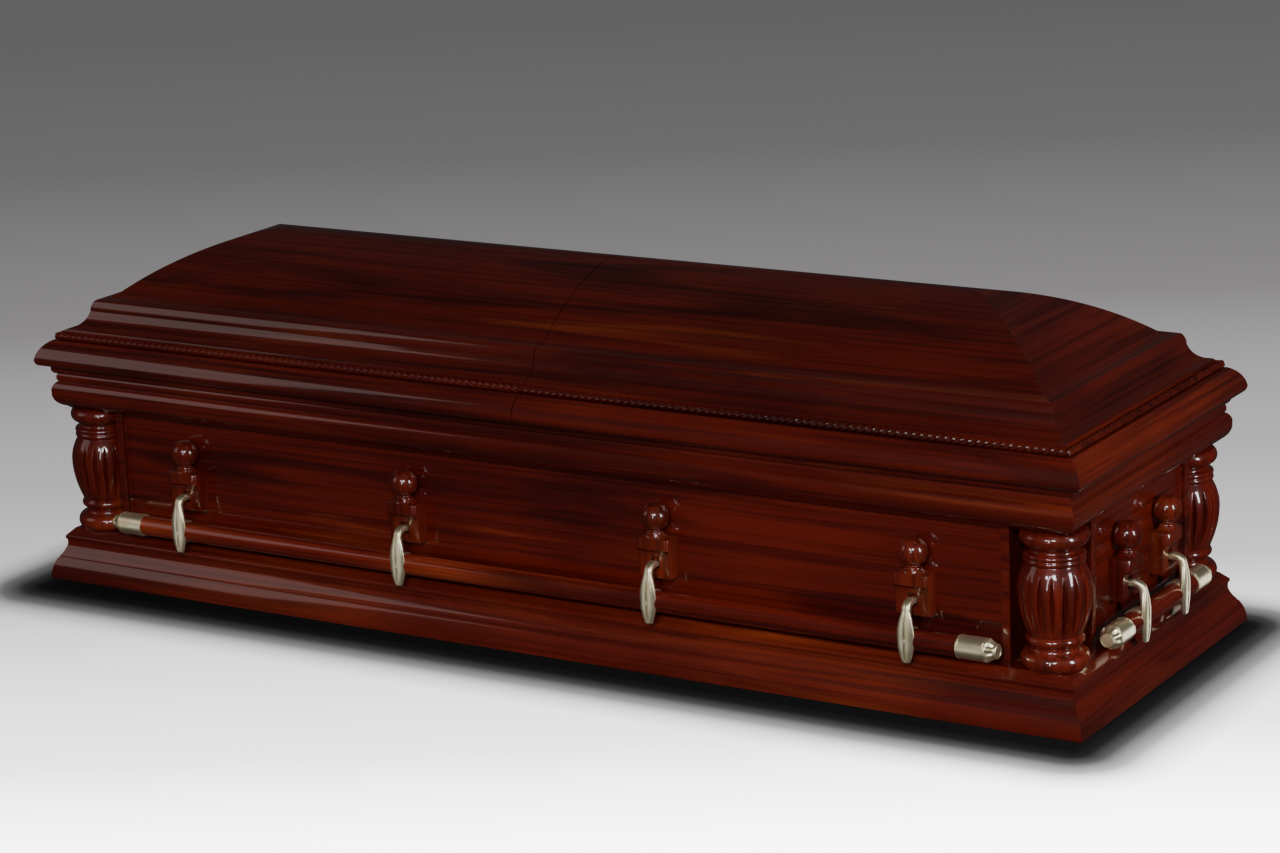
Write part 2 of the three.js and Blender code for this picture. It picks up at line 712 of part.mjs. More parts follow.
function lugGeometry() {
  const bottom = pivotZ - LUG_DROP;
  const lintel = pivotZ + LINTEL_RISE;
  const arc = [0, 30, 60, 90].map((degrees) => {
    const angle = THREE.MathUtils.degToRad(degrees);
    const y = LUG_DEPTH - SCOOP_DEPTH * Math.cos(angle);
    return [y, lintel - SCOOP_HEIGHT * (1 - Math.sin(angle))];
  });
  const [low, front] = [bottom - GAP, LUG_DEPTH + GAP];
  const outline = [[LUG_DEPTH - SCOOP_DEPTH, low], ...arc, [front, lintel], [front, low]];
  const scoop = loft([-LUG_WIDTH, LUG_WIDTH].map((x) => outline.map(([y, z]) => [x, y, z])));
  const pocketHalf = ARM_NECK / 2 + POCKET_CLEARANCE;
  const pocketLow = [-pocketHalf, POCKET_BACK, pivotZ - POCKET_DROP];
  const pocket = blockBetween(pocketLow, [pocketHalf, front, pivotZ + POCKET_RISE]);
  const block = asManifold(extrudeOutline(lugPlan(), bottom, pivotZ + LUG_RISE));
  const cut = block.subtract(asManifold(scoop)).subtract(asManifold(pocket));
  return fromManifold(cut.add(asManifold(finialGeometry())).trimByPlane([0, 1, 0], GAP));
}

// Shoulder that draws in to a round neck, and the ball with its flat top and flat back.
function finialGeometry() {
  const plan = lugPlan(GAP);
  const roundRow = (radius, z) => plan.map((_, i) => {
    const angle = (i / plan.length) * Math.PI * 2;
    return [radius * Math.cos(angle), BALL_OUT + radius * Math.sin(angle), z];
  });
  const ballRow = (rise) => (
    roundRow(Math.sqrt(BALL_RADIUS ** 2 - rise ** 2), pivotZ + BALL_RISE + rise)
  );
  const foot = plan.map((point) => [...point, pivotZ + LUG_RISE - GAP]);
  const neck = roundRow(LUG_NECK_RADIUS, pivotZ + LUG_NECK_RISE);
  const shoulder = foot.map(([x, y], i) => [
    x + (neck[i][0] - x) * LUG_SHOULDER_DRAW,
    y + (neck[i][1] - y) * LUG_SHOULDER_DRAW,
    pivotZ + LUG_SHOULDER_RISE,
  ]);
  const ball = [-34, 0, 31].map((degrees) => (
    ballRow(BALL_RADIUS * Math.sin(THREE.MathUtils.degToRad(degrees)))
  ));
  return loft([foot, shoulder, neck, ...ball, ballRow(BALL_FLAT_RISE - BALL_RISE)]);
}

// Arm: sections square to its middle line, from the head in its pocket, over the knee and down
// the paddle to the toe. A section is [out, up, lie in degrees, thickness, width].
function armGeometry() {
  const paddleMiddle = BAR_OUT + BAR_RADIUS + EYE_WALL + 1 - PADDLE_THICKNESS / 2;
  const kneeCentre = [KNEE_OUT - KNEE_RADIUS, pivotZ + KNEE_RISE - KNEE_RADIUS];
  const knee = [90, 45, 0].map((lie) => {
    const angle = THREE.MathUtils.degToRad(lie);
    const out = kneeCentre[0] + KNEE_RADIUS * Math.cos(angle);
    const up = kneeCentre[1] + KNEE_RADIUS * Math.sin(angle);
    return [out, up, lie, KNEE_THICKNESS, ARM_NECK];
  });
  const shin = [(KNEE_OUT + paddleMiddle * 2) / 3, barZ + PADDLE_RISE * 1.9];
  const sections = [
    [PIVOT_OUT - ARM_HEAD, pivotZ, 90, HEAD_THICKNESS, ARM_NECK],
    ...knee,
    [...shin, 0, KNEE_THICKNESS, (ARM_NECK + ARM_PADDLE) / 2],
    [paddleMiddle, barZ + PADDLE_RISE, 0, PADDLE_THICKNESS, ARM_PADDLE],
    [paddleMiddle, barZ - PADDLE_RISE / 2, 0, PADDLE_THICKNESS, ARM_PADDLE - 2],
    [paddleMiddle, pivotZ - TOE_DROP, 0, TOE_THICKNESS, ARM_TOE],
  ];
  const stations = sections.map(([out, up, lie, thickness, width]) => {
    const angle = THREE.MathUtils.degToRad(lie);
    const [dy, dz] = [Math.cos(angle), Math.sin(angle)].map((value) => (value * thickness) / 2);
    const [front, back] = [[out + dy, up + dz], [out - dy, up - dz]];
    return [
      [-width / 2, ...front], [width / 2, ...front], [width / 2, ...back], [-width / 2, ...back],
    ];
  });
  const eye = alongBar(BAR_RADIUS + EYE_WALL, EYE_WIDTH);
  const bore = alongBar(BAR_RADIUS + GAP, ARM_PADDLE * 2);
  return fromManifold(asManifold(loft(stations)).add(asManifold(eye)).subtract(asManifold(bore)));
}

function alongBar(radius, length) {
  const rod = new THREE.CylinderGeometry(radius, radius, length, BAR_FACETS);
  return rod.rotateZ(Math.PI / 2).translate(0, BAR_OUT, barZ);
}

// Tip: turned collar on the end of the bar, drawn in over a bevel to a small flat nose.
function tipGeometry() {
  const collar = TIP_LENGTH - TIP_NOSE;
  const profile = [
    [0, 0], [TIP_RADIUS, 0], [TIP_RADIUS, collar], [TIP_NOSE_RADIUS, TIP_LENGTH - TIP_FACE],
    [TIP_NOSE_RADIUS, TIP_LENGTH], [0, TIP_LENGTH],
  ];
  const lathe = new THREE.LatheGeometry(profile.map((point) => new THREE.Vector2(...point)), BAR_FACETS);
  return lathe.rotateZ(-Math.PI / 2);
}

function addHandles() {
  const sideReach = notchX - SIDE_BAR_MARGIN;
  const endReach = notchY + END_BAR_OVERRUN;
  const outerLug = sideReach - SIDE_LUG_MARGIN;
  const sideLugs = [-outerLug, -INNER_LUG, INNER_LUG, outerLug];
  const endLugs = [END_LUG_MARGIN - endReach, endReach - END_LUG_MARGIN];
  const sides = [
    { side: 'front', turn: Math.PI, face: halfWidth, lugs: sideLugs, reach: sideReach },
    { side: 'back', turn: 0, face: halfWidth, lugs: sideLugs, reach: sideReach },
    { side: 'foot', turn: -Math.PI / 2, face: halfLength, lugs: endLugs, reach: endReach },
    { side: 'head', turn: Math.PI / 2, face: halfLength, lugs: endLugs, reach: endReach },
  ];
  const lug = lugGeometry();
  const arm = armGeometry();
  for (const { side, turn, face, lugs, reach } of sides) {
    const handle = new THREE.Group();
    handle.rotation.z = turn;
    const out = face - panelInset;
    lugs.forEach((place, i) => {
      addPiece(`lug_${side}_${i + 1}`, lug, MAHOGANY, handle).position.set(place, out, 0);
      addPiece(`arm_${side}_${i + 1}`, arm, BRASS, handle).position.set(place, out, 0);
    });
    const barHalf = reach - TIP_LENGTH - GAP;
    const rod = alongBar(BAR_RADIUS, barHalf * 2);
    addPiece(`bar_${side}`, rod, MAHOGANY, handle).position.set(0, out, 0);
    for (const [end, way] of [['left', -1], ['right', 1]]) {
      const tip = addPiece(`tip_${side}_${end}`, tipGeometry(), BRASS, handle);
      tip.position.set(way * (barHalf + GAP), out + BAR_OUT, barZ);
      tip.rotation.y = way > 0 ? 0 : Math.PI;
    }
    casket.add(handle);
  }
}

addBase();
addWalls();
addCornice();
addColumns();
addLid();
addHinges();
addHandles();

export default casket;
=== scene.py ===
# %% [markdown]
# # A polished hardwood casket, built up in Blender
#
# The CAD solids give every piece its place and its size. This lesson dresses them: each moulding
# is drawn again with true curves and softened arrises, the bead becomes a twisted rope, the
# columns get their rounded lobes, and wood, lacquer and brass are built from noise.
# All sizes are in millimetres and turned into metres when a mesh is made.

# %% Setup and the fixed frame
import math

import bpy
import numpy as np
from mathutils import Matrix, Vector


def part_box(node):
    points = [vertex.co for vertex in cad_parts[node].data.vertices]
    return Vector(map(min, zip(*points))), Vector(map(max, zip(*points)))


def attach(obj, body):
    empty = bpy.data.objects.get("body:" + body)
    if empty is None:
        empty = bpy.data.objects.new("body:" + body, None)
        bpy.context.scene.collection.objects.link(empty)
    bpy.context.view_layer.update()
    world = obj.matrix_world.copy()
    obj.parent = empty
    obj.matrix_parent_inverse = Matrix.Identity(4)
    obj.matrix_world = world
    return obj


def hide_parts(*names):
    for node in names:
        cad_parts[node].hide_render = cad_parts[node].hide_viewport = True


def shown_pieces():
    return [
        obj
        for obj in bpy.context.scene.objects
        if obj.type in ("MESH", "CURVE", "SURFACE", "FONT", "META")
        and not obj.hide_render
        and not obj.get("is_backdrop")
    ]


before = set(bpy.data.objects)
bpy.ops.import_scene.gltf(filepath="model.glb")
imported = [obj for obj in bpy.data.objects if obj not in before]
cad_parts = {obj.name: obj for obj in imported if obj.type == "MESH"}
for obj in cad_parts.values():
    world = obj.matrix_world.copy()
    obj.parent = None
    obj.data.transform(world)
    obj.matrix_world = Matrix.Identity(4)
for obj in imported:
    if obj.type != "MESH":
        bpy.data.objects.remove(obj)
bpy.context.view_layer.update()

MM = 0.001
GAP = 0.3


def cad_box(node):
    """Lowest and highest corner of a CAD node, in millimetres."""
    low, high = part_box(node)
    return np.array(low) / MM, np.array(high) / MM


HALF_LENGTH = cad_box("base_moulding_foot")[1][0]
HALF_WIDTH = -cad_box("base_moulding_front")[0][1]
BASE_TOP = cad_box("base_moulding_front")[1][2]
CORNICE_BOTTOM, BODY_TOP = (corner[2] for corner in cad_box("cornice_frame"))
LID_BOTTOM, RIM_TOP = (corner[2] for corner in cad_box("lid_rim_foot"))
CROWN_BOTTOM, RIDGE = (corner[2] for corner in cad_box("lid_crown_foot"))
SPLIT = cad_box("lid_rim_foot")[0][0]
print(f"plan {2 * HALF_LENGTH:.0f} x {2 * HALF_WIDTH:.0f}, body to {BODY_TOP:.1f}, ridge at {RIDGE:.1f}")

# %% [markdown]
# ## Curves for profiles
#
# A moulding's profile is a list of points [inset from the foot of the base, height]. Two points
# and the rise of the arc between them are enough for every swelling and hollow:
# with half chord h and rise s, the radius is r = (h^2 + s^2) / 2s, and the points are
# centre + r (sin a, cos a) for a from -asin(h/r) to asin(h/r).
# A knife-sharp arris catches no light, so each hard corner is replaced by a small arc with a
# point on either side of it, which keeps the flats flat when they are shaded smoothly.
# The arc reaches no further than ARRIS_SHARE of the edges beside it, and the outer points stand
# at FLAT_HOLD times its reach.


# %% Curves
ARRIS_SHARE = 0.3
FLAT_HOLD = 1.45


def bow(start, end, rise, count=8):
    """Arc from start to end that stands off its chord by rise, to the left of the way."""
    start, end = np.array(start, float), np.array(end, float)
    chord = end - start
    half = np.linalg.norm(chord) / 2
    radius = (half**2 + rise**2) / (2 * abs(rise))
    along = chord / (2 * half)
    left = np.array([-along[1], along[0]]) * np.sign(rise)
    centre = (start + end) / 2 + left * (abs(rise) - radius)
    angle = np.linspace(-1, 1, count) * math.asin(min(1, half / radius))
    return centre + radius * (np.outer(np.sin(angle), along) + np.outer(np.cos(angle), left))


def polyline(*parts):
    """Joins points and arcs into one list, without repeated points."""
    rows = np.vstack([np.atleast_2d(np.array(part, float)) for part in parts])
    keep = np.r_[True, np.linalg.norm(np.diff(rows, axis=0), axis=1) > 1e-6]
    return rows[keep]


def soften(points, radius, closed=True, least=25, steps=4):
    """Rounds every corner that turns by more than least degrees."""
    count = len(points)
    out = []
    for i in range(count):
        here = points[i]
        if not closed and i in (0, count - 1):
            out.append(here)
            continue
        back, ahead = points[i - 1] - here, points[(i + 1) % count] - here
        reach_back, reach_ahead = np.linalg.norm(back), np.linalg.norm(ahead)
        back, ahead = back / reach_back, ahead / reach_ahead
        turn = 180 - math.degrees(math.acos(np.clip(back @ ahead, -1, 1)))
        if turn < least:
            out.append(here)
            continue
        longest = ARRIS_SHARE * min(reach_back, reach_ahead)
        cut = min(radius * math.tan(math.radians(turn / 2)), longest)
        t = np.linspace(0, 1, steps)[:, None]
        first, last = here + back * cut, here + ahead * cut
        out.append(here + back * cut * FLAT_HOLD)
        out.extend(first * (1 - t) ** 2 + here * 2 * t * (1 - t) + last * t**2)
        out.append(here + ahead * cut * FLAT_HOLD)
    return np.array(out)


def smooth_line(points, count):
    """Catmull-Rom curve through rows of numbers: each span blends the four rows around it."""
    rows = np.array(points, float)
    padded = np.vstack([2 * rows[0] - rows[1], rows, 2 * rows[-1] - rows[-2]])
    where = np.linspace(0, len(rows) - 1 - 1e-9, count)
    span = where.astype(int)
    t = (where - span)[:, None]
    a, b, c, d = (padded[span + k] for k in range(4))
    bend = 2 * a - 5 * b + 4 * c - d
    twist = 3 * b - a - 3 * c + d
    return 0.5 * (2 * b + (c - a) * t + bend * t**2 + twist * t**3)


# %% [markdown]
# ## From a grid of points to a piece
#
# Every piece is one or more shells, and a shell is a grid: rows along the piece, columns round
# its section. Neighbouring rows are joined by quads. Points that fall together, such as at a
# pole or along the ridge, are welded. The signed volume V = sum of a . (b x c) / 6 over the
# faces tells which way they look, and a negative one turns them all round.


# %% Shells and pieces
def shell(grid, ring_rows=False, ring_columns=True, caps=True):
    """Points and faces of a grid with shape (rows, columns, 3). Returns strips by row too."""
    rows, columns = grid.shape[:2]
    i = np.arange(rows if ring_rows else rows - 1)[:, None]
    j = np.arange(columns if ring_columns else columns - 1)[None, :]
    below, above = i * columns, (i + 1) % rows * columns
    right = (j + 1) % columns
    quads = np.stack([below + j, below + right, above + right, above + j], -1)
    strips = np.repeat(np.arange(len(i)), quads.shape[1])
    faces = quads.reshape(-1, 4).tolist()
    if caps and not ring_rows:
        faces += [list(range(columns))[::-1], list(range((rows - 1) * columns, rows * columns))]
        strips = np.r_[strips, 0, len(i) - 1]
    return grid.reshape(-1, 3), faces, strips


def welded(points, faces, strips):
    """Joins points that are the same to a thousandth and turns the shell outward."""
    keys, index = np.unique(np.round(points, 3), axis=0, return_inverse=True)
    index = index.reshape(-1)
    kept, kept_strips, volume = [], [], 0.0
    for face, strip in zip(faces, strips):
        ring = []
        for corner in index[face]:
            if corner not in ring:
                ring.append(int(corner))
        if len(ring) < 3:
            continue
        kept.append(ring)
        kept_strips.append(int(strip))
    for ring in kept:
        fan = keys[ring]
        volume += np.cross(fan[1:-1], fan[2:]).dot(fan[0]).sum()
    if volume < 0:
        kept = [ring[::-1] for ring in kept]
    return keys, kept, kept_strips


def weld_all(shells):
    return [welded(*one) for one in shells]


def moved(shells, place):
    """The same shells with every point put through place."""
    return [(place(points), faces, strips) for points, faces, strips in shells]


def piece(name, shells, body, materials, crease=35, by_strip=None):
    """Makes one object of welded shells that stands for a CAD node of the same name."""
    points, faces, strips, start = [], [], [], 0
    for shell_points, shell_faces, shell_strips in shells:
        points.append(shell_points)
        faces += [[corner + start for corner in ring] for ring in shell_faces]
        strips += shell_strips
        start += len(shell_points)
    mesh = bpy.data.meshes.new(f"dressed_{name}")
    mesh.from_pydata((np.vstack(points) * MM).tolist(), [], faces)
    mesh.polygons.foreach_set("use_smooth", np.ones(len(faces), bool))
    for material in materials:
        mesh.materials.append(material)
    if by_strip:
        mesh.polygons.foreach_set("material_index", np.array([by_strip[s] for s in strips], np.int32))
    mesh.set_sharp_from_angle(angle=math.radians(crease))
    mesh.update()
    made = bpy.data.objects.new(f"dressed_{name}", mesh)
    bpy.context.scene.collection.objects.link(made)
    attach(made, body)
    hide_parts(name)
    return made


def boxed(low, high, radius=0.8):
    """A box with softened arrises on its four upright edges and its top."""
    corners = [[low[0], low[1]], [high[0], low[1]], [high[0], high[1]], [low[0], high[1]]]
    plan = soften(np.array(corners), radius)
    centre = plan.mean(0)
    rows = []
    for z, inset in ((low[2], radius), (low[2] + radius, 0), (high[2] - radius, 0), (high[2], radius)):
        shrink = 1 - inset / np.abs(plan - centre).max(0)
        rows.append(np.column_stack([centre + (plan - centre) * shrink, np.full(len(plan), z)]))
    return shell(np.array(rows))


# %% [markdown]
# ## Wood under lacquer
#
# Mahogany is seen through a clear gloss coat. The figure comes from noise that is stretched
# along the grain: f(p) = noise(s * p) with s about ten times smaller along the board than
# across it. A first, slow noise draws the broad dark bands, a second one the streaks inside
# them, and a third, very fine one the pores. A slow noise that ignores the grain darkens
# patches the way a sprayed toner does. The coat has a faint waviness and its gloss wanders
# a little, where hands have been.


# %% Node helpers
def new_material(name):
    """An empty material with one Principled shader."""
    material = bpy.data.materials.new(name)
    material.use_nodes = True
    tree = material.node_tree
    tree.nodes.clear()
    shader = tree.nodes.new("ShaderNodeBsdfPrincipled")
    output = tree.nodes.new("ShaderNodeOutputMaterial")
    tree.links.new(shader.outputs[0], output.inputs[0])
    return material, tree, shader


def noise(tree, scale_xyz, scale, detail=4.0, shift=(0, 0, 0), distortion=0.0, roughness=0.55):
    """Noise over object coordinates that are stretched by scale_xyz."""
    coordinates = tree.nodes.new("ShaderNodeTexCoord")
    mapping = tree.nodes.new("ShaderNodeMapping")
    mapping.inputs["Scale"].default_value = scale_xyz
    mapping.inputs["Location"].default_value = shift
    texture = tree.nodes.new("ShaderNodeTexNoise")
    texture.inputs["Scale"].default_value = scale
    texture.inputs["Detail"].default_value = detail
    texture.inputs["Roughness"].default_value = roughness
    texture.inputs["Distortion"].default_value = distortion
    tree.links.new(coordinates.outputs["Object"], mapping.inputs["Vector"])
    tree.links.new(mapping.outputs["Vector"], texture.inputs["Vector"])
    return texture.outputs["Fac"]


def ramp(tree, factor, stops):
    """Colour ramp: stops are (place, (r, g, b))."""
    node = tree.nodes.new("ShaderNodeValToRGB")
    for _ in range(len(stops) - 2):
        node.color_ramp.elements.new(0.5)
    for element, (place, color) in zip(node.color_ramp.elements, stops):
        element.position = place
        element.color = (*color, 1)
    tree.links.new(factor, node.inputs[0])
    return node.outputs[0]


def spread(tree, factor, low, high, from_low=0.35, from_high=0.65):
    """Maps a noise to the range low..high."""
    node = tree.nodes.new("ShaderNodeMapRange")
    for place, value in zip(range(1, 5), (from_low, from_high, low, high)):
        node.inputs[place].default_value = value
    tree.links.new(factor, node.inputs[0])
    return node.outputs[0]


def blended(tree, kind, first, second, factor=1.0):
    """Lays the second colour over the first; factor is a number or a socket."""
    node = tree.nodes.new("ShaderNodeMix")
    node.data_type = "RGBA"
    node.blend_type = kind
    if isinstance(factor, float):
        node.inputs[0].default_value = factor
    else:
        tree.links.new(factor, node.inputs[0])
    tree.links.new(first, node.inputs[6])
    tree.links.new(second, node.inputs[7])
    return node.outputs[2]


def bump(tree, shader, height, strength, distance=0.0005):
    """Raises the surface and its coat by height, which is a socket."""
    node = tree.nodes.new("ShaderNodeBump")
    node.inputs["Strength"].default_value = strength
    node.inputs["Distance"].default_value = distance
    tree.links.new(height, node.inputs["Height"])
    tree.links.new(node.outputs[0], shader.inputs["Normal"])
    tree.links.new(node.outputs[0], shader.inputs["Coat Normal"])


# %% Mahogany, plain wood and brass
def stretched(axis, along, across):
    """Scale of a noise along one axis and across it."""
    return tuple(along if i == axis else across for i in range(3))


WARM = (0.27, 0.050, 0.013)
RED = (0.135, 0.0112, 0.0048)
DEEP = (0.070, 0.0062, 0.0034)


def mahogany(name, axis, shift=(0, 0, 0), warmth=0.3, brightness=1.0):
    """Lacquered mahogany whose grain runs along axis 0, 1 or 2; warmth adds orange stretches."""
    material, tree, shader = new_material(name)
    bands = noise(tree, stretched(axis, 0.7, 8.0), 1.5, 4.0, shift, 1.1)
    streaks = noise(tree, stretched(axis, 0.8, 55.0), 2.0, 6.0, shift, 0.5)
    pores = noise(tree, stretched(axis, 14.0, 300.0), 3.0, 2.0, shift)
    patches = noise(tree, stretched(axis, 1.1, 2.6), 1.25, 2.0, [s + 11.3 for s in shift])
    toner = noise(tree, (1.2, 1.6, 2.0), 1.4, 2.0, shift)
    red, warm, deep = ([c * brightness for c in color] for color in (RED, WARM, DEEP))
    body = ramp(tree, bands, [(0.36, deep), (0.47, red), (0.62, red), (0.78, warm)])
    glow = ramp(tree, patches, [(0.5, (0, 0, 0)), (0.72, warm)])
    fine = ramp(tree, streaks, [(0.36, (0.42, 0.30, 0.30)), (0.56, (1.0, 1.0, 1.0))])
    pore = ramp(tree, pores, [(0.30, (0.6, 0.5, 0.5)), (0.46, (1, 1, 1))])
    shade = ramp(tree, toner, [(0.34, (0.62, 0.52, 0.54)), (0.56, (1.0, 1.0, 1.0))])
    color = blended(tree, "ADD", body, glow, warmth)
    color = blended(tree, "MULTIPLY", color, fine, 0.85)
    color = blended(tree, "MULTIPLY", color, pore, 0.4)
    color = blended(tree, "MULTIPLY", color, shade, 0.8)
    tree.links.new(color, shader.inputs["Base Color"])
    tree.links.new(spread(tree, streaks, 0.42, 0.32), shader.inputs["Roughness"])
    gloss = noise(tree, (1, 1, 1), 9.0, 3.0, shift)
    tree.links.new(spread(tree, gloss, 0.04, 0.09), shader.inputs["Coat Roughness"])
    shader.inputs["Coat Weight"].default_value = 1.0
    shader.inputs["Coat IOR"].default_value = 1.6
    shader.inputs["Specular IOR Level"].default_value = 0.15
    wave = noise(tree, (1, 1, 1), 30.0, 1.0, shift)
    bump(tree, shader, wave, 0.05, 0.0012)
    return material


def plain_wood(name):
    """Sawn board, without lacquer."""
    material, tree, shader = new_material(name)
    bands = noise(tree, (0.8, 9.0, 9.0), 3.0, 6.0, distortion=0.5)
    color = ramp(tree, bands, [(0.3, (0.16, 0.075, 0.04)), (0.7, (0.34, 0.19, 0.11))])
    tree.links.new(color, shader.inputs["Base Color"])
    tree.links.new(spread(tree, bands, 0.72, 0.55), shader.inputs["Roughness"])
    bump(tree, shader, noise(tree, (3, 120, 120), 4.0, 3.0), 0.15)
    return material


def brass(name, axis):
    """Brushed pale gold, brushed round the given axis, a little duller where it is handled."""
    material, tree, shader = new_material(name)
    brushing = noise(tree, stretched(axis, 900.0, 60.0), 1.0, 3.0)
    wear = noise(tree, (1, 1, 1), 35.0, 4.0)
    color = ramp(tree, wear, [(0.35, (0.84, 0.73, 0.45)), (0.65, (0.95, 0.87, 0.61))])
    tree.links.new(color, shader.inputs["Base Color"])
    shader.inputs["Metallic"].default_value = 0.92
    rough = blended(tree, "MIX", spread(tree, brushing, 0.26, 0.40), spread(tree, wear, 0.42, 0.28), 0.5)
    tree.links.new(rough, shader.inputs["Roughness"])
    bump(tree, shader, brushing, 0.12, 0.0002)
    return material


ALONG_X = mahogany("mahogany_along_x", 0, (0, 0, 0), 0.32, 0.92)
ALONG_Y = mahogany("mahogany_along_y", 1, (3.1, 1.7, 0.4), 0.32, 0.92)
# Lighter, warmer copy for the columns: partly painted light that stands in for their highlights.
UPRIGHT = mahogany("mahogany_upright", 2, (0.7, 2.2, 5.1), 0.75, 1.2)
BLOCK = mahogany("mahogany_block", 2, (5.2, 1.1, 7.4), 0.4, 0.95)
BEAD = mahogany("mahogany_bead", 0, (8.3, 0.6, 2.9), 0.4, 0.8)
PANEL_X = mahogany("mahogany_panel_x", 0, (7.3, 4.1, 2.6), 0.05, 1.15)
PANEL_Y = mahogany("mahogany_panel_y", 1, (2.3, 8.1, 6.6), 0.15, 1.05)
# Darker copies for the crown: painted shade on the top of the lid.
CROWN_X = mahogany("mahogany_crown_x", 0, (4.4, 6.2, 9.3), 0.14, 0.62)
CROWN_Y = mahogany("mahogany_crown_y", 1, (9.4, 3.2, 1.3), 0.2, 0.75)
BAR_X = mahogany("mahogany_bar_x", 0, (1.4, 5.5, 8.8), 1.0, 1.2)
BAR_Y = mahogany("mahogany_bar_y", 1, (6.1, 2.5, 3.8), 1.0, 1.2)
BOARD = plain_wood("plain_board")
BRASS_X = brass("brass_brushed_x", 0)
BRASS_Y = brass("brass_brushed_y", 1)
BRASS_Z = brass("brass_brushed_z", 2)
print(f"{len(bpy.data.materials)} materials")

# %% [markdown]
# ## Mouldings round the plan
#
# A joiner runs one length of moulding and cuts mitres at 45 degrees. A mitre needs no special
# geometry here: a profile point [inset, z] lies at the corner (L - inset, W - inset, z), so
# sweeping from corner to corner cuts the mitre by itself. The base is four lengths with a
# hairline at each mitre, the cornice is one glued frame.


# %% Corners and sweeps
def at_corner(sx, sy):
    """Puts a profile on the mitre of the corner with signs sx and sy."""

    def place(p):
        x, y = sx * (HALF_LENGTH - p[:, 0]), sy * (HALF_WIDTH - p[:, 0])
        return np.column_stack([x, y, p[:, 1]])

    return place


def at_cut(x, sy):
    """Puts a profile square across the front or the back, at x."""

    def place(p):
        return np.column_stack([np.full(len(p), x), sy * (HALF_WIDTH - p[:, 0]), p[:, 1]])

    return place


FRONT_HEAD, FRONT_FOOT = at_corner(-1, -1), at_corner(1, -1)
BACK_HEAD, BACK_FOOT = at_corner(-1, 1), at_corner(1, 1)
SIDES = {
    "front": (FRONT_HEAD, FRONT_FOOT),
    "back": (BACK_HEAD, BACK_FOOT),
    "head": (FRONT_HEAD, BACK_HEAD),
    "foot": (FRONT_FOOT, BACK_FOOT),
}


def swept(profile, places, ring_rows=False):
    """A profile run from place to place, and back to the first if ring_rows is set."""
    return shell(np.array([place(profile) for place in places]), ring_rows)


def mitred(profile, first, second, gap=GAP / 2):
    """A length between two corners, each end drawn back from its mitre."""
    ends = np.array([first(profile), second(profile)])
    axis = 0 if abs(ends[1, 0, 0] - ends[0, 0, 0]) > 1 else 1
    way = np.sign(ends[1, :, axis] - ends[0, :, axis])
    ends[0, :, axis] += way * gap
    ends[1, :, axis] -= way * gap
    return shell(ends)


# %% Base moulding
# The foot, a small step, the hollow waist, the lip and the weathering up to the panels.
STRIP_INSET, STRIP_RAISE, RETURN = 47, 10, 15
WALL, NOTCH = 20, 100
PANEL_INSET = STRIP_INSET + STRIP_RAISE
INNER_INSET = PANEL_INSET + WALL
FOOT_LEAN, FOOT_RISE, FOOT_BOW = 10.5, 38, 2.6
STEP_INSET, STEP_Z, STEP_EASE = 14, 41.5, 1
WAIST_INSET, WAIST_Z, WAIST_BOW = 25.5, 64, 1.2
LIP_INSET, LIP_FOOT, LIP_Z, LIP_SPLAY = 23, 76, 80.5, 3.5
WEATHERING_END = 38
BOARD_SEAT, BOARD_LEDGE = BASE_TOP - 25, 15
BASE_ARRIS = 1.6
base_profile = soften(
    polyline(
        bow([0, 0], [FOOT_LEAN, FOOT_RISE], FOOT_BOW, 12),
        [STEP_INSET, STEP_Z],
        bow([STEP_INSET, STEP_Z + STEP_EASE], [WAIST_INSET, WAIST_Z], -WAIST_BOW, 9),
        [WAIST_INSET, LIP_FOOT - LIP_SPLAY],
        [LIP_INSET, LIP_FOOT],
        [LIP_INSET, LIP_Z],
        [WEATHERING_END, BASE_TOP],
        [INNER_INSET, BASE_TOP],
        [INNER_INSET, BOARD_SEAT],
        [INNER_INSET + BOARD_LEDGE, BOARD_SEAT],
        [INNER_INSET + BOARD_LEDGE, 0],
    ),
    BASE_ARRIS,
)
for side, corners in SIDES.items():
    wood = ALONG_X if side in ("front", "back") else ALONG_Y
    length = weld_all([mitred(base_profile, *corners)])
    piece(f"base_moulding_{side}", length, "casket_body", [wood])
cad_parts["bottom_board"].data.materials.clear()
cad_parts["bottom_board"].data.materials.append(BOARD)
print(f"base profile has {len(base_profile)} points")

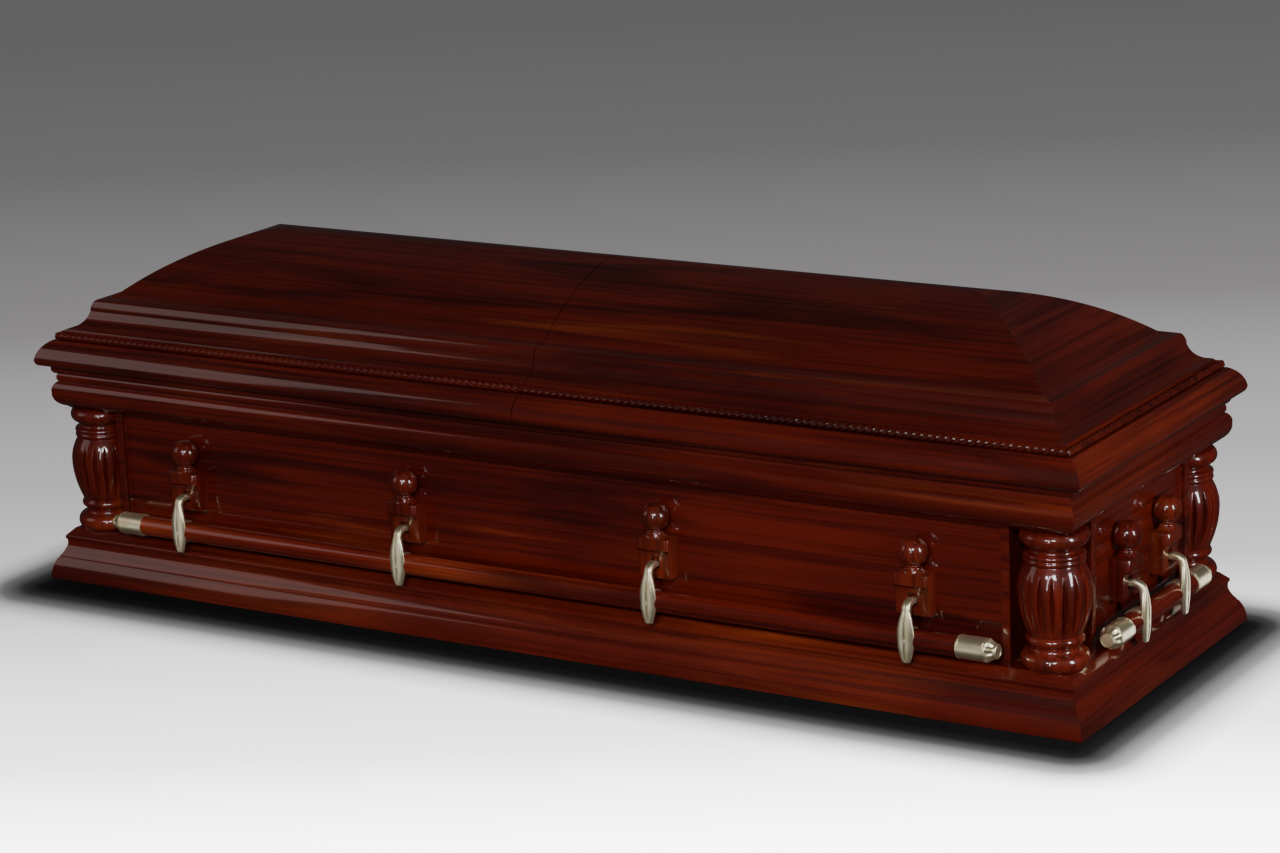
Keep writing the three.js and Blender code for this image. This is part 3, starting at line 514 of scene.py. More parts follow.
# %% Cornice
# Soffit, bullnose, a thin groove, a fillet and the bed that the lid rests on.
SOFFIT_INSET, SOFFIT_BLOCK, SOFFIT_LAP = 45, 15, 10
BULLNOSE_FOOT = [39, CORNICE_BOTTOM + 5]
BULLNOSE_FRONT = [20.5, CORNICE_BOTTOM + 33]
BULLNOSE_HEAD = [28.5, CORNICE_BOTTOM + 52.5]
BULLNOSE_LOWER_BOW, BULLNOSE_UPPER_BOW = 6, 3
GROOVE_INSET, GROOVE_TOP = 30.1, CORNICE_BOTTOM + 56
FILLET_INSET, FILLET_TOP = 28.3, CORNICE_BOTTOM + 63.5
BED_FOOT, BED_HEAD, BED_BOW = [30.3, CORNICE_BOTTOM + 68.5], [22, CORNICE_BOTTOM + 76.5], 2
CORNICE_ARRIS = 0.9
cornice_profile = soften(
    polyline(
        [INNER_INSET, CORNICE_BOTTOM],
        [SOFFIT_INSET, CORNICE_BOTTOM],
        bow(BULLNOSE_FOOT, BULLNOSE_FRONT, BULLNOSE_LOWER_BOW, 14),
        bow(BULLNOSE_FRONT, BULLNOSE_HEAD, BULLNOSE_UPPER_BOW, 8),
        [GROOVE_INSET, BULLNOSE_HEAD[1]],
        [GROOVE_INSET, GROOVE_TOP],
        [FILLET_INSET, GROOVE_TOP],
        [FILLET_INSET, FILLET_TOP],
        bow(BED_FOOT, BED_HEAD, BED_BOW, 7),
        [BED_HEAD[0], BODY_TOP],
        [INNER_INSET, BODY_TOP],
    ),
    CORNICE_ARRIS,
)
notch_x, notch_y = (half - STRIP_INSET - NOTCH for half in (HALF_LENGTH, HALF_WIDTH))
lap_inset = INNER_INSET - SOFFIT_LAP
cornice = [swept(cornice_profile, [FRONT_HEAD, FRONT_FOOT, BACK_FOOT, BACK_HEAD], True)]
for sx in (-1, 1):
    for sy in (-1, 1):
        xs = sorted([sx * (notch_x - RETURN), sx * (HALF_LENGTH - lap_inset)])
        ys = sorted([sy * (notch_y - RETURN), sy * (HALF_WIDTH - lap_inset)])
        low_corner = [xs[0], ys[0], CORNICE_BOTTOM]
        cornice.append(boxed(low_corner, [xs[1], ys[1], CORNICE_BOTTOM + SOFFIT_BLOCK], 0.5))
piece(
    "cornice_frame",
    weld_all(cornice),
    "casket_body",
    [ALONG_X, ALONG_Y],
    by_strip={0: 0, 1: 1, 2: 0, 3: 1},
)

# %% [markdown]
# ## Panels
#
# A panel is a plan outline pulled up between base and cornice: the board, a raised strip at
# either end, and a return that turns in to make the notch for the column.


# %% Side and end panels
PANEL_ARRIS = 2.0


def panel(outline, turn):
    """The outline pulled up from base to cornice; turn is -1 for the back and the head end."""
    plan = soften(np.array(outline, float), PANEL_ARRIS)
    heights = (BASE_TOP + GAP, CORNICE_BOTTOM - GAP)
    rows = [np.column_stack([plan, np.full(len(plan), z)]) for z in heights]
    return weld_all(moved([shell(np.array(rows))], lambda p: p * [turn, turn, 1]))


face_x, face_y = HALF_LENGTH - PANEL_INSET, HALF_WIDTH - PANEL_INSET
strip_x, strip_y = HALF_LENGTH - STRIP_INSET, HALF_WIDTH - STRIP_INSET
end_y = notch_y - GAP
half_side = [
    [notch_x - RETURN, -face_y],
    [notch_x - RETURN, -strip_y],
    [notch_x, -strip_y],
    [notch_x, -notch_y],
    [notch_x - RETURN, -notch_y],
    [notch_x - RETURN, WALL - face_y],
]
half_end = [
    [face_x, end_y - RETURN],
    [strip_x, end_y - RETURN],
    [strip_x, end_y],
    [notch_x - RETURN, end_y],
    [notch_x - RETURN, end_y - RETURN],
    [face_x - WALL, end_y - RETURN],
]
side_outline = half_side + [[-x, y] for x, y in reversed(half_side)]
end_outline = half_end + [[x, -y] for x, y in reversed(half_end)]
for side, outline, turn, wood in (
    ("side_panel_front", side_outline, 1, PANEL_X),
    ("side_panel_back", side_outline, -1, PANEL_X),
    ("end_panel_foot", end_outline, 1, PANEL_Y),
    ("end_panel_head", end_outline, -1, PANEL_Y),
):
    piece(side, panel(outline, turn), "casket_body", [wood])

# %% [markdown]
# ## Turned and carved columns
#
# The lathe gives the outline r(z), fullest a little above the middle of the belly; the carver then
# cuts 18 narrow gouges, pointed at both ends like a lens, which leave broad rounded lobes.
# Across one lobe, u runs from -1 to 1. With g the gouge's share of the lobe, the surface drops
# by d (1 - ((1 - |u|) / g)^2) where |u| > 1 - g, and both d and g follow sin(pi s) up the belly.
# On top of that each lobe is rounded by a drop of ROUNDING times u^2.


# %% Columns
LOBES = 18
COLUMN_INSET = 84
BELLY_LOW, BELLY_WIDEST, BELLY_HIGH = 153, 226, 270
BELLY_RADIUS, BELLY_FOOT_RADIUS, BELLY_HEAD_RADIUS = 62, 46, 48.7
GOUGE_LOW, GOUGE_HIGH = 157, 259
GOUGE_DEPTH, GOUGE_SHARE, ROUNDING = 7.0, 0.42, 1.6
belly_z = np.linspace(BELLY_LOW, BELLY_HIGH, 54)
belly_end = np.where(belly_z < BELLY_WIDEST, BELLY_LOW, BELLY_HIGH)
belly_rim = np.where(belly_z < BELLY_WIDEST, BELLY_FOOT_RADIUS, BELLY_HEAD_RADIUS)
belly_share = (belly_z - BELLY_WIDEST) / (belly_end - BELLY_WIDEST)
belly = np.column_stack([BELLY_RADIUS - (BELLY_RADIUS - belly_rim) * belly_share**2, belly_z])

# The outline from the foot up, as points [radius, height]: torus, neck and bead, then the belly,
# two thin beads, a neck and the upper torus.
lathe_line = polyline(
    [50.5, BASE_TOP + GAP],
    bow([50.5, BASE_TOP + GAP], [51, 122], -7, 12),
    bow([48.5, 122.6], [45, 136], 5.5, 8),
    bow([45.6, 136.5], [45.6, 149.5], -3.2, 9),
    [44.6, 151],
    belly,
    [48, 271.5],
    bow([49.4, 272], [49.4, 281], -2.2, 7),
    bow([49.4, 281.4], [49.4, 290], -2.2, 7),
    [45, 290.8],
    bow([42.6, 292], [43.2, 300.4], 1.2, 6),
    [48.6, 301.8],
    bow([50.5, 302.8], [51, CORNICE_BOTTOM - GAP], -7, 12),
)
radii, heights = lathe_line.T
up_gouge = np.clip((heights - GOUGE_LOW) / (GOUGE_HIGH - GOUGE_LOW), 0, 1)
on_belly = (heights >= BELLY_LOW) & (heights <= BELLY_HIGH)
lens = np.where(on_belly, np.sin(math.pi * up_gouge) ** 0.75, 0)
steps = np.array([0, 0.3, 0.5, 0.62, 0.68, 0.74, 0.81, 0.9])
across = np.r_[-1.0, -steps[:0:-1], steps]
angle = ((np.arange(LOBES)[:, None] + across[None, :] / 2) * 2 * math.pi / LOBES).ravel()
across = np.tile(across, LOBES)
gouge = np.maximum(GOUGE_SHARE * lens, 1e-4)[:, None]
cut_in = np.clip(1 - ((1 - np.abs(across)[None, :]) / gouge) ** 2, 0, 1)
drop = lens[:, None] * (GOUGE_DEPTH * cut_in + ROUNDING * across[None, :] ** 2)
column_radius = radii[:, None] - drop
column_z = np.repeat(heights[:, None], len(angle), 1)
column_grid = np.stack([column_radius * np.cos(angle), column_radius * np.sin(angle), column_z], -1)
column = weld_all([shell(column_grid)])
for corner, (sx, sy) in {
    "front_head": (-1, -1),
    "front_foot": (1, -1),
    "back_foot": (1, 1),
    "back_head": (-1, 1),
}.items():
    centre = np.array([sx * (HALF_LENGTH - COLUMN_INSET), sy * (HALF_WIDTH - COLUMN_INSET), 0])
    shells = moved(column, lambda p: p + centre)
    piece(f"column_{corner}", shells, "casket_body", [UPRIGHT], 50)
print(f"a column has {len(column[0][1])} faces")

# %% [markdown]
# ## The lid: rim, rope and crown
#
# The lid is split across the middle, so each half sweeps from the cut round its two corners
# and back to the cut. The rope is three strands laid round each other: its section has radius
# r(a, s) = r0 - c (1 - |cos((3 a - 2 pi s / p) / 2)|), where s runs along it and p is the pitch.
# The crown is a shell of true thickness: the outer section, then the inner one, joined at the
# foot. Front and back sections meet on the ridge, and the mitre makes the hips.
# An arc that turns by 4 a over a chord c stands off it by c/2 tan a: the dome turns by 30 degrees.

# %% Lid
ROPE_SEAT, RIM_INSET, RIM_INNER_INSET, RIM_ARRIS = 461, 43, 93, 0.8
DOME_INSET, DOME_FOOT = 119, 538.5
DOME_SWELL, LINING_SWELL = math.tan(math.radians(7.5)), 0.13
LID_THICKNESS, LINING_LEAN, CROWN_ARRIS = 18, 9, 1.2
rim_profile = soften(
    polyline(
        [RIM_INNER_INSET, LID_BOTTOM],
        [5.5, LID_BOTTOM],
        bow([4.6, 416], [0.6, 425], 0.9, 5),
        bow([0.6, 425], [27, ROPE_SEAT], 5.5, 16),
        [RIM_INSET, ROPE_SEAT],
        [RIM_INSET, RIM_TOP],
        [RIM_INNER_INSET, RIM_TOP],
    ),
    RIM_ARRIS,
)


def domed(inset, z, top, swell, count):
    """Arc up to the ridge that stands off its chord by swell times half the chord."""
    run, rise = HALF_WIDTH - inset, top - z
    return bow([inset, z], [HALF_WIDTH, top], math.hypot(run, rise) / 2 * swell, count)


# The crown's outside: cove, step, band and a small hollow, then the dome up to the ridge.
outer = polyline(
    [44.5, CROWN_BOTTOM],
    bow([45, 479], [78.5, 506], -6.5, 14),
    [79.5, 508],
    bow([80, 510], [84, 525], 1.0, 6),
    bow([84, 525], [91, 530.5], 1.2, 5),
    bow([91, 530.5], [DOME_INSET, DOME_FOOT], -1.8, 7),
)
dome = domed(DOME_INSET, DOME_FOOT, RIDGE, DOME_SWELL, 28)
outer = soften(polyline(outer, dome), CROWN_ARRIS, closed=False, least=22)
lining_start = (DOME_INSET + LINING_LEAN, DOME_FOOT - LID_THICKNESS)
lining = domed(*lining_start, RIDGE - LID_THICKNESS, LINING_SWELL, 16)
inner = polyline([RIM_INNER_INSET, CROWN_BOTTOM], [96, 500], [102, 514.5], lining)
crown_line = np.vstack([outer[::-1], inner])

STRANDS, PITCH, ROPE_RADIUS, STRAND_DEPTH = 3, 14.4, 6.8, 3.0
ROPE_INSET, ROPE_Z = RIM_INSET - GAP - ROPE_RADIUS, ROPE_SEAT + GAP + ROPE_RADIUS
ROPE_SIDES, ROPE_ROW = 14, 1.7


def rope_half(direction):
    """Rows of points along front, end and back of one half, twisted as they go."""
    turn = np.linspace(0, 2 * math.pi, ROPE_SIDES, endpoint=False)
    corner_x, corner_y = direction * (HALF_LENGTH - ROPE_INSET), HALF_WIDTH - ROPE_INSET
    cut = SPLIT * direction
    stops = [[cut, -corner_y], [corner_x, -corner_y], [corner_x, corner_y], [cut, corner_y]]
    stops = np.array(stops, float)
    start, rows = 0.0, []
    for leg, (first, last) in enumerate(zip(stops[:-1], stops[1:])):
        length = np.linalg.norm(last - first)
        along = (last - first) / length
        out = np.array([along[1], -along[0]]) * direction
        share = np.linspace(0, 1, int(length / ROPE_ROW))
        if leg:
            share = share[1:]
        way = start + share * length
        twist = (STRANDS * turn[None, :] - 2 * math.pi * way[:, None] / PITCH) / 2
        radius = ROPE_RADIUS - STRAND_DEPTH * (1 - np.abs(np.cos(twist)))
        aside, up = radius * np.cos(turn), radius * np.sin(turn)
        # A row leans more and more towards a mitre, and stays square at the middle cut.
        begin_lean, end_lean = float(leg > 0), float(leg < 2)
        lean = -begin_lean * (1 - share)[:, None] + end_lean * share[:, None]
        flat = first + (share * length)[:, None, None] * along + aside[..., None] * out
        flat = flat + (lean * aside)[..., None] * along
        rows.append(np.concatenate([flat, (ROPE_Z + up)[..., None]], -1))
        start += length
    return np.vstack(rows)


for half, direction in (("head", -1), ("foot", 1)):
    body = f"lid_{half}_half"
    cut = SPLIT * direction
    ends = [at_corner(direction, -1), at_corner(direction, 1)]
    run_of = [at_cut(cut, -1), *ends, at_cut(cut, 1)]
    piece(
        f"lid_rim_{half}",
        weld_all([swept(rim_profile, run_of)]),
        body,
        [ALONG_X, ALONG_Y],
        by_strip={0: 0, 1: 1, 2: 0},
    )
    crown_rows = np.array([place(crown_line) for place in run_of])
    points, faces, strips = shell(crown_rows, ring_columns=False, caps=False)
    # The face at the cut goes up the front section and down the rear one.
    columns = len(crown_line)
    rear = 3 * columns
    faces.append(list(range(columns)) + list(range(rear, rear + columns))[::-1])
    strips = np.r_[strips, 0]
    piece(
        f"lid_crown_{half}",
        weld_all([(points, faces, strips)]),
        body,
        [CROWN_X, CROWN_Y],
        crease=14,
        by_strip={0: 0, 1: 1, 2: 0},
    )
    rope = rope_half(direction)
    bead = weld_all([shell(rope)])
    made = piece(f"rope_bead_{half}", bead, body, [BEAD], 60)
    print(f"rope of the {half} half: {len(rope)} rows, {len(made.data.polygons)} faces")

# %% [markdown]
# ## Handles
#
# Each handle is drawn once in its own frame (x along the bar, y out of the panel, z up) and
# turned to its side. The lug is a block with its two front corners cut off. A scoop, a quarter
# of an ellipse, takes its lower front away, and the arm's pocket is sunk in the scooped face.
# Rows along x carry the outline of the block at that place: the front stands at
# min(plan depth, scoop), and the rows are set where the scoop crosses the cut corner, so that
# the curved arris falls on grid points. On top a hollow shoulder draws in to a small bead and a
# round neck under a ball, whose back is flat against the panel.
# The arm follows a curved line: at each point it has a thickness, a width and a roundness.
# A superellipse |x/a|^n + |y/b|^n = 1 goes from a square (n large) to a circle (n = 2) as n
# falls, and a narrow groove runs down the middle of the front.

# %% Lug
BAR_OUT, BAR_Z, BAR_RADIUS = 37, 126, 18.3
LUG_HALF, LUG_DEPTH, LUG_CHAMFER, LUG_LOW, LUG_HIGH = 31, 37, 5, 163, 235
LINTEL, SCOOP_DEPTH, SCOOP_HEIGHT = 216, 12, 20
POCKET_HALF, POCKET_BACK, POCKET_LOW, POCKET_HIGH = 9, 14.5, 179, 201
BALL_OUT, BALL_Z, BALL_RADIUS, BALL_FLAT = 20, 271, 25, 293
NECK_RADIUS, SHOULDER_RISE, FINIAL_SIDES = 14.5, 7.2, 72
POLE = 0.01  # radius of the last ring on an axis


def plan_depth(x):
    """Depth of the lug's plan at x, with the cut corner eased over about a millimetre."""
    past = abs(x) - (LUG_HALF - LUG_CHAMFER)
    return LUG_DEPTH - (past + math.sqrt(past**2 + 0.9)) / 2


def scoop_out(z):
    """How far the scooped front stands out at height z."""
    sine = np.clip(1 - (LINTEL - z) / SCOOP_HEIGHT, 0, 1)
    return np.where(z >= LINTEL, LUG_DEPTH, LUG_DEPTH - SCOOP_DEPTH * np.sqrt(1 - sine**2))


def lug_rows():
    """Outlines of the block from one side to the other, with scoop and pocket."""
    turn = np.radians(np.linspace(14.5, 90, 13))
    curved_z = LINTEL - SCOOP_HEIGHT * (1 - np.sin(turn))
    corner = LUG_HALF - LUG_CHAMFER + SCOOP_DEPTH * np.cos(turn[::-1])
    corner = corner[corner < LUG_HALF - 0.8]
    half = np.r_[POCKET_HALF, 14, 19, 24, 25.2, 25.7, corner, LUG_HALF - np.array([0.5, 0.2, 0])]
    inner = np.linspace(-POCKET_HALF, POCKET_HALF, 7)
    stations = [(-x, False) for x in half[::-1]]
    stations += [(x, True) for x in inner]
    stations += [(x, False) for x in half]
    below = [LUG_LOW, LUG_LOW + 0.6, 171, POCKET_LOW]
    in_pocket = [POCKET_LOW, 185, 191, 196, 198.5, POCKET_HIGH]
    above = [LINTEL + 0.7, LUG_HIGH - 1, LUG_HIGH - 0.3]
    z = np.r_[below, in_pocket, curved_z, above]
    sunk = slice(len(below), len(below) + len(in_pocket))
    rows = []
    for x, pocket in stations:
        edge = 0.7 if abs(x) == LUG_HALF else 0.2 if abs(x) > LUG_HALF - 0.3 else 0
        y = np.minimum(plan_depth(x) - edge, scoop_out(z))
        y[0] -= 0.5
        y[-1] -= 0.7
        if pocket:
            y[sunk] = POCKET_BACK
        front = np.column_stack([y, z])
        outline = np.vstack([[[GAP, LUG_LOW]], front, [[y[-1] - 0.8, LUG_HIGH], [GAP, LUG_HIGH]]])
        rows.append(np.column_stack([np.full(len(outline), x), outline]))
    return np.array(rows)


def evened(points, count):
    """The same closed outline with its points evenly spaced."""
    closed = np.vstack([points, points[:1]])
    along = np.r_[0, np.cumsum(np.linalg.norm(np.diff(closed, axis=0), axis=1))]
    where = np.linspace(0, along[-1], count, endpoint=False)
    return np.column_stack([np.interp(where, along, closed[:, k]) for k in (0, 1)])


def finial_rows():
    """Rings from the top of the block over the shoulder and the neck to the flat of the ball."""
    x, y = LUG_HALF - 0.4, LUG_DEPTH - 0.5
    flat = x - LUG_CHAMFER
    plan = [[x, GAP], [x, y - LUG_CHAMFER], [flat, y], [-flat, y], [-x, y - LUG_CHAMFER], [-x, GAP]]
    plan = evened(soften(np.array(plan), 1.0), FINIAL_SIDES)
    away = np.arctan2(plan[:, 1] - BALL_OUT, plan[:, 0])
    circle = np.column_stack([np.cos(away), np.sin(away)])
    centre = np.array([0, BALL_OUT])

    def ring(points, z):
        return np.column_stack([points, np.full(FINIAL_SIDES, z)])

    rows = [ring(plan, LUG_HIGH - 0.2)]
    for share in np.linspace(0, 1, 9):
        level = plan * (1 - share) + (centre + circle * NECK_RADIUS) * share
        rows.append(ring(level, LUG_HIGH + GAP + SHOULDER_RISE * share**2.4))
    neck = [(15.2, 243.2), (15.4, 244.2), (14.8, 245.4), (12.6, 246), (11, 246.8), (10.4, 247.8)]
    ball = np.radians(np.linspace(-63, 61.6, 26))
    line = neck + [(BALL_RADIUS * math.cos(a), BALL_Z + BALL_RADIUS * math.sin(a)) for a in ball]
    line += [(11.2, BALL_FLAT + 0.25), (10.2, BALL_FLAT), (POLE, BALL_FLAT)]
    rows += [ring(centre + circle * radius, z) for radius, z in line]
    rows = np.array(rows)
    rows[..., 1] = np.maximum(rows[..., 1], GAP)
    return rows


lug = weld_all([shell(lug_rows()), shell(finial_rows())])
print(f"a lug has {sum(len(faces) for _, faces, _ in lug)} faces")


# %% Arm, bar and tip
ARM_SIDES, GROOVE_HALF = 72, 1.7
EYE_HALF, EYE_BORE, EYE_RADIUS = 8, 18.6, 21.1
TIP_LENGTH, TIP_RADIUS, TIP_GROOVE, TIP_FACE = 70, 20, 19.5, 12.2
NOSE_START, NOSE_LENGTH, NOSE_DRAW, SCALLOP, SCALLOPS = 53, 13, 7.6, 3.0, 8


def arm_rows(count=72):
    """Sections square to the arm's middle line, from its head in the pocket to the toe."""
    line = smooth_line(
        [
            # out, up, lie, thickness, width, roundness, groove
            [17.5, 188, 90, 10, 15, 3.2, 0],
            [26, 188.6, 90, 11.6, 15, 3.0, 0],
            [34.8, 189.5, 88, 13, 15, 2.8, 0],
            [44.6, 185.4, 45, 13.6, 15.2, 2.6, 0.4],
            [48.9, 175.5, 7, 13.6, 16.2, 2.5, 0.9],
            [51.2, 162, 2, 13.4, 24, 2.3, 1.6],
            [52.6, 147, 0, 13, 29.6, 2.1, 2.1],
            [52.6, 131, 0, 13, 31, 2.0, 2.2],
            [52.6, 115, 0, 12.4, 28.7, 2.1, 2.0],
            [52.4, 101.6, 0, 10.6, 22.6, 2.2, 1.6],
            [52.2, 92.6, 0, 8.4, 16.6, 2.5, 0.8],
            [52.1, 90.2, 0, 7, 14.2, 2.6, 0.2],
            [52.1, 89.5, 0, 5, 11.5, 2.6, 0],
        ],
        count,
    )
    t = np.linspace(0, 2 * math.pi, ARM_SIDES, endpoint=False)
    c, s = np.cos(t), np.sin(t)
    rows = []
    for out, up, lie, thickness, width, power, groove in line:
        across = width / 2 * np.sign(c) * np.abs(c) ** (2 / power)
        front = thickness / 2 * np.sign(s) * np.abs(s) ** (2 / power)
        front = front - np.where(s > 0, groove * np.exp(-((across / GROOVE_HALF) ** 2)), 0)
        lean = math.radians(lie)
        rows.append(np.column_stack([across, out + front * math.cos(lean), up + front * math.sin(lean)]))
    return np.array(rows)


def round_bar(line, scallops=0, count=48):
    """Turns a line of (along, radius) or (along, radius, depth of scallop) round the bar's axis."""
    t = np.linspace(0, 2 * math.pi, count, endpoint=False)
    rows = []
    for along, radius, *depth in line:
        r = radius - (depth[0] if depth else 0) * np.abs(np.cos(scallops / 2 * t)) ** 2
        out, up = BAR_OUT + r * np.cos(t), BAR_Z + r * np.sin(t)
        rows.append(np.column_stack([np.full(count, along), out, up]))
    return np.array(rows)


def nose(share):
    """One ring of the tip's nose, at a share of its length."""
    along, radius = NOSE_START + NOSE_LENGTH * share, TIP_RADIUS - NOSE_DRAW * share**1.1
    return (along, radius, SCALLOP * math.sin(math.pi * share**0.8) ** 0.6)


eye_half = [(EYE_HALF, EYE_BORE), (EYE_HALF, EYE_RADIUS - 0.5), (EYE_HALF - 0.7, EYE_RADIUS)]
eye = round_bar([(-along, radius) for along, radius in eye_half] + eye_half[::-1])
arm = weld_all([shell(arm_rows()), shell(eye, ring_rows=True)])
tip_line = [(0, POLE), (0, TIP_RADIUS - 0.6), (0.6, TIP_RADIUS)]
for ring_start in (3, 49):
    tip_line += [(ring_start, TIP_RADIUS), (ring_start + 0.4, TIP_GROOVE)]
    tip_line += [(ring_start + 1.2, TIP_GROOVE), (ring_start + 1.6, TIP_RADIUS)]
tip_line += [(NOSE_START - 0.4, TIP_RADIUS)]
tip_line += [nose(share) for share in np.linspace(0.02, 1, 14)]
tip_line += [(66.4, TIP_FACE), (69.2, TIP_FACE), (TIP_LENGTH, TIP_FACE - 0.8)]
tip_line += [(TIP_LENGTH, 10.4), (TIP_LENGTH - 0.6, 9.8), (TIP_LENGTH - 0.6, POLE)]
tip = weld_all([shell(round_bar(tip_line, SCALLOPS, 64))])

# %% Handles on their sides
SIDE_LUGS, SIDE_REACH = (-752, -260, 260, 752), 912
END_LUGS, END_REACH = (-82, 82), 203
TURNS = {"front": math.pi, "back": 0.0, "foot": -math.pi / 2, "head": math.pi / 2}


def to_side(side, place, flip=False):
    """Takes points from the handle's own frame to a side of the casket."""
    turn = TURNS[side]
    out = (HALF_WIDTH if side in ("front", "back") else HALF_LENGTH) - PANEL_INSET
    c, s = math.cos(turn), math.sin(turn)

    def place_points(p):
        x = (-p[:, 0] if flip else p[:, 0]) + place
        y = p[:, 1] + out
        return np.column_stack([c * x - s * y, s * x + c * y, p[:, 2]])

    return place_points


def outward(shells):
    """A mirrored shell has its faces inside out, so they are wound again."""
    return [(points, [face[::-1] for face in faces], strips) for points, faces, strips in shells]


for side in TURNS:
    body = f"handle_{side}"
    lengthwise = side in ("front", "back")
    places, reach = (SIDE_LUGS, SIDE_REACH) if lengthwise else (END_LUGS, END_REACH)
    for number, place in enumerate(places, 1):
        put = to_side(side, place)
        name = f"{side}_{number}"
        piece(f"lug_{name}", moved(lug, put), "casket_body", [BLOCK], 40)
        piece(f"arm_{name}", moved(arm, put), body, [BRASS_Z], 40)
    half_bar = reach - TIP_LENGTH - GAP
    half_line = [(half_bar, BAR_RADIUS), (half_bar, POLE)]
    bar_line = [(-along, radius) for along, radius in half_line[::-1]] + half_line
    bar = weld_all([shell(round_bar(bar_line))])
    wood = BAR_X if lengthwise else BAR_Y
    piece(f"bar_{side}", moved(bar, to_side(side, 0)), body, [wood])
    metal = [BRASS_X if lengthwise else BRASS_Y]
    right = moved(tip, to_side(side, half_bar + GAP))
    piece(f"tip_{side}_right", right, body, metal)
    left = moved(tip, to_side(side, -half_bar - GAP, flip=True))
    piece(f"tip_{side}_left", outward(left), body, metal)

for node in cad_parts.values():
    if node.name.startswith("hinge_"):
        node.data.materials.clear()
        node.data.materials.append(BRASS_X)

# %% [markdown]
# ## Floor, light and camera
#
# The floor is a plain pale sweep that falls off to grey behind the casket, like a lit studio
# cove. That fall-off is painted light, as the floor glows by itself: a ramp over d = p . a, where a
# points away from the camera along the floor. Round the base a second ramp paints a soft contact
# shadow on it, over the distance to the footprint, |max(|p - c| - h, 0)|, with c the middle of
# the painted shadow and h its half sizes.
# The casket doesn't mirror the floor.
# Soft lights stand above, in front and at the end. Those that can be mirrored put the long
# reflections on the mouldings and the glints on columns and balls. Two broad reflectors light
# only the brass of the handles, which would look dark with nothing pale to mirror.
# The camera was solved from the straight edges of the casket.


# %% Floor
FLOOR_HALF, FLOOR_DROP, FLOOR_GLOW = 30, 0.0005, 8.0
AWAY, NEAREST, FARTHEST = (-0.5285, 0.8489, 0), -1.6, 7.5
# Painted light: the floor's own glow, from nearly white in front to grey behind.
GREYS = [
    (0.04, (0.95, 0.93, 0.935)),
    (0.09, (0.40, 0.388, 0.392)),
    (0.19, (0.123, 0.118, 0.120)),
    (0.27, (0.076, 0.073, 0.0745)),
    (0.43, (0.033, 0.0315, 0.032)),
    (0.66, (0.0195, 0.019, 0.0193)),
    (0.95, (0.0160, 0.0155, 0.0158)),
]
# Place, size and ramp of the painted contact shadow round the base.
PAINTED_SHADOW_CENTRE, PAINTED_SHADOW_DRAW = (0.02, -0.035, 0), 0.02
PAINTED_SHADOW_STOPS = [(0.0, 0.001), (0.03, 0.004), (0.06, 0.03), (0.10, 0.16), (0.14, 0.6), (0.19, 1)]


def vector_step(tree, operation, first, second):
    """One step of vector arithmetic; a second value, where it isn't None, is a fixed one."""
    node = tree.nodes.new("ShaderNodeVectorMath")
    node.operation = operation
    tree.links.new(first, node.inputs[0])
    if second is not None:
        node.inputs[1].default_value = second
    return node


def pale_floor():
    """Floor that glows by itself, a painted light from nearly white to grey, with a painted contact
    shadow round the casket.
    """
    material, tree, shader = new_material("pale_floor")
    point = tree.nodes.new("ShaderNodeTexCoord").outputs["Object"]
    away = vector_step(tree, "DOT_PRODUCT", point, AWAY).outputs["Value"]
    pale = ramp(tree, spread(tree, away, 0, 1, NEAREST, FARTHEST), GREYS)
    # Painted contact shadow: the floor's glow is darkened near the casket's footprint.
    painted_shadow_half = (HALF_LENGTH * MM - PAINTED_SHADOW_DRAW, HALF_WIDTH * MM, 1)
    beside = vector_step(tree, "SUBTRACT", point, PAINTED_SHADOW_CENTRE)
    beside = vector_step(tree, "ABSOLUTE", beside.outputs[0], None)
    beside = vector_step(tree, "SUBTRACT", beside.outputs[0], painted_shadow_half)
    beside = vector_step(tree, "MAXIMUM", beside.outputs[0], (0, 0, 0))
    beside = vector_step(tree, "LENGTH", beside.outputs[0], None)
    painted_contact_shadow = ramp(tree, beside.outputs["Value"], [(place, (grey,) * 3) for place, grey in PAINTED_SHADOW_STOPS])
    lit = blended(tree, "MULTIPLY", pale, painted_contact_shadow)
    tree.links.new(lit, shader.inputs["Emission Color"])
    shader.inputs["Emission Strength"].default_value = FLOOR_GLOW
    shader.inputs["Base Color"].default_value = (0.01, 0.01, 0.01, 1)
    shader.inputs["Roughness"].default_value = 0.9
    shader.inputs["Specular IOR Level"].default_value = 0.0
    return material


floor_mesh = bpy.data.meshes.new("floor")
floor_corners = [(sx * FLOOR_HALF, sy * FLOOR_HALF, 0) for sx, sy in ((-1, -1), (1, -1), (1, 1), (-1, 1))]
floor_mesh.from_pydata(floor_corners, [], [(0, 1, 2, 3)])
floor_mesh.materials.append(pale_floor())
floor = bpy.data.objects.new("floor", floor_mesh)
bpy.context.scene.collection.objects.link(floor)
floor.location.z = -FLOOR_DROP
floor.visible_glossy = False
floor.visible_diffuse = False
floor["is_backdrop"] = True


# %% Lights
def area_light(name, place, target, size, power, shine=True, color=(1, 1, 1)):
    """A rectangular lamp that faces target. Without shine it lights, but nothing mirrors it."""
    data = bpy.data.lights.new(name, "AREA")
    data.shape = "RECTANGLE"
    data.size, data.size_y = size
    data.energy = power
    data.color = color
    lamp = bpy.data.objects.new(name, data)
    bpy.context.scene.collection.objects.link(lamp)
    back = np.array(place, float) - np.array(target, float)
    back /= np.linalg.norm(back)
    right = np.cross([0, 0, 1], back)
    right /= np.linalg.norm(right)
    up = np.cross(back, right)
    matrix = Matrix(np.column_stack([right, up, back]).tolist()).to_4x4()
    matrix.translation = place
    lamp.matrix_world = matrix
    lamp.visible_glossy = shine
    return lamp


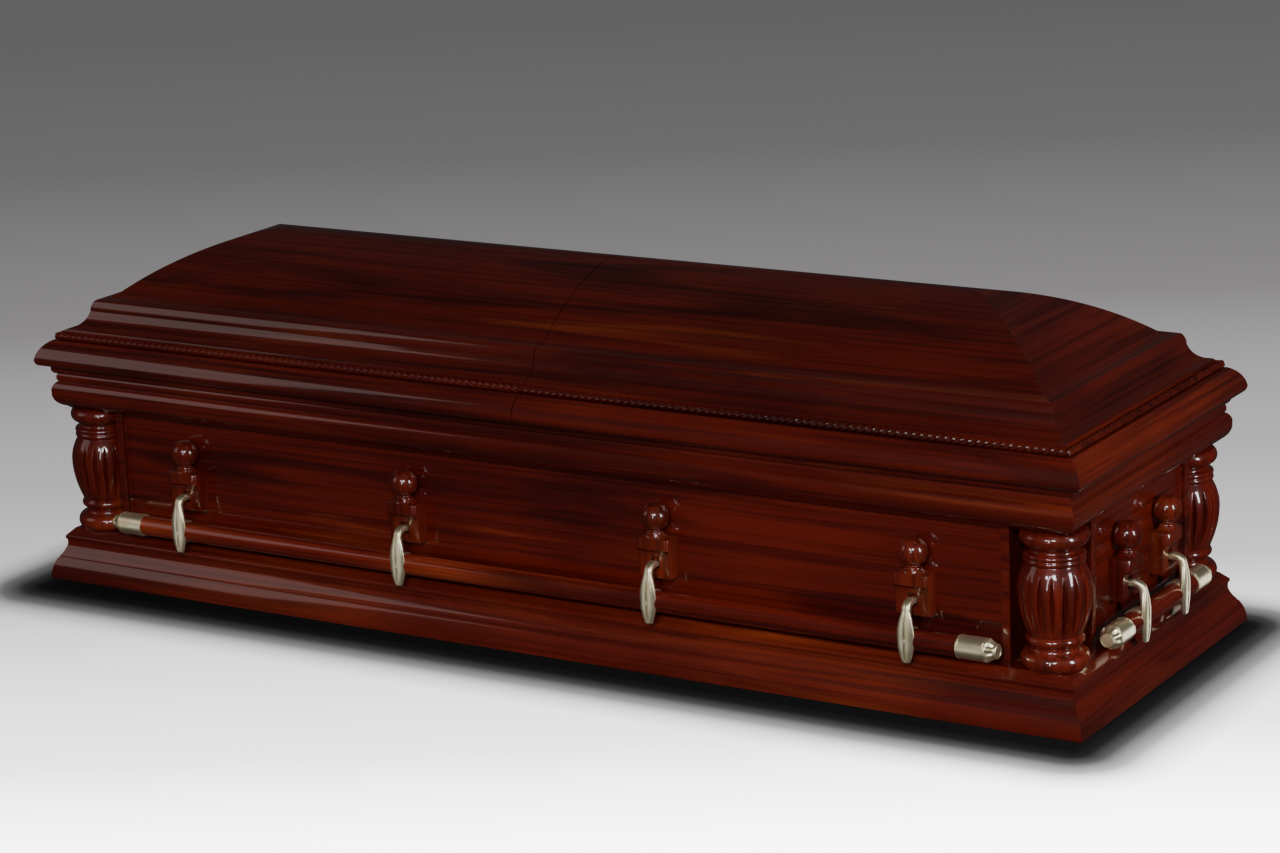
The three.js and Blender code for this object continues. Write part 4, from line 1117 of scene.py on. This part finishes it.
world = bpy.data.worlds.new("studio")
bpy.context.scene.world = world
world.use_nodes = True
world.node_tree.nodes["Background"].inputs[0].default_value = (1.0, 0.97, 0.98, 1)
world.node_tree.nodes["Background"].inputs[1].default_value = 0.03
area_light("above", (-1.2, 1.6, 3.8), (0.3, -0.3, 0), (2.2, 1.6), 38, False, (1, 0.97, 0.95))
area_light("front_fill", (0.4, -5.6, 2.5), (0, 0, 0.3), (3.2, 1.8), 20, False)
area_light("end_fill", (5.0, -0.6, 1.6), (1.0, 0, 0.3), (1.6, 1.6), 12, False)
area_light("left_softbox", (-3.4, -2.6, 1.9), (-0.2, -0.3, 0.4), (2.0, 2.0), 11, True, (1, 0.8, 0.76))
area_light("key_box", (2.7, -4.5, 2.9), (0.8, -0.3, 0.3), (1.0, 1.0), 92)
area_light("glint", (0.7, -5.4, 3.1), (0.4, 0, 0.3), (0.4, 0.4), 42)
area_light("tall_strip", (1.6, -5.4, 1.9), (0.8, -0.3, 0.3), (0.35, 3.0), 52)
area_light("right_upright", (4.0, -0.7, 1.3), (1.0, 0, 0.3), (0.5, 1.4), 62)

metalwork = bpy.data.collections.new("metalwork")
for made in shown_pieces():
    if made.name.startswith(("dressed_arm_", "dressed_tip_")):
        metalwork.objects.link(made)
for name, place, size, power in (
    ("front_reflector", (-2.5, -5.0, -0.9), (6.0, 3.0), 34),
    ("end_reflector", (3.2, 4.5, -1.0), (4.0, 3.0), 75),
):
    lamp = area_light(name, place, (0, 0, 0.12), size, power)
    lamp.light_linking.receiver_collection = metalwork

# %% Camera
LENS, SENSOR_WIDTH, FAR_CLIP = 101.75, 36, 100
CAMERA_PLACE = (3.3613, -5.3264, 2.0125)
camera_data = bpy.data.cameras.new("camera")
camera_data.lens = LENS
camera_data.sensor_width = SENSOR_WIDTH
camera_data.clip_end = FAR_CLIP
camera = bpy.data.objects.new("camera", camera_data)
bpy.context.scene.collection.objects.link(camera)
axes = Matrix(
    [
        # right, up, back
        [0.85376, -0.10258, 0.51045],
        [0.51920, 0.24111, -0.81994],
        [-0.03896, 0.96506, 0.25911],
    ]
).to_4x4()
axes.translation = CAMERA_PLACE
camera.matrix_world = axes
bpy.context.scene.camera = camera
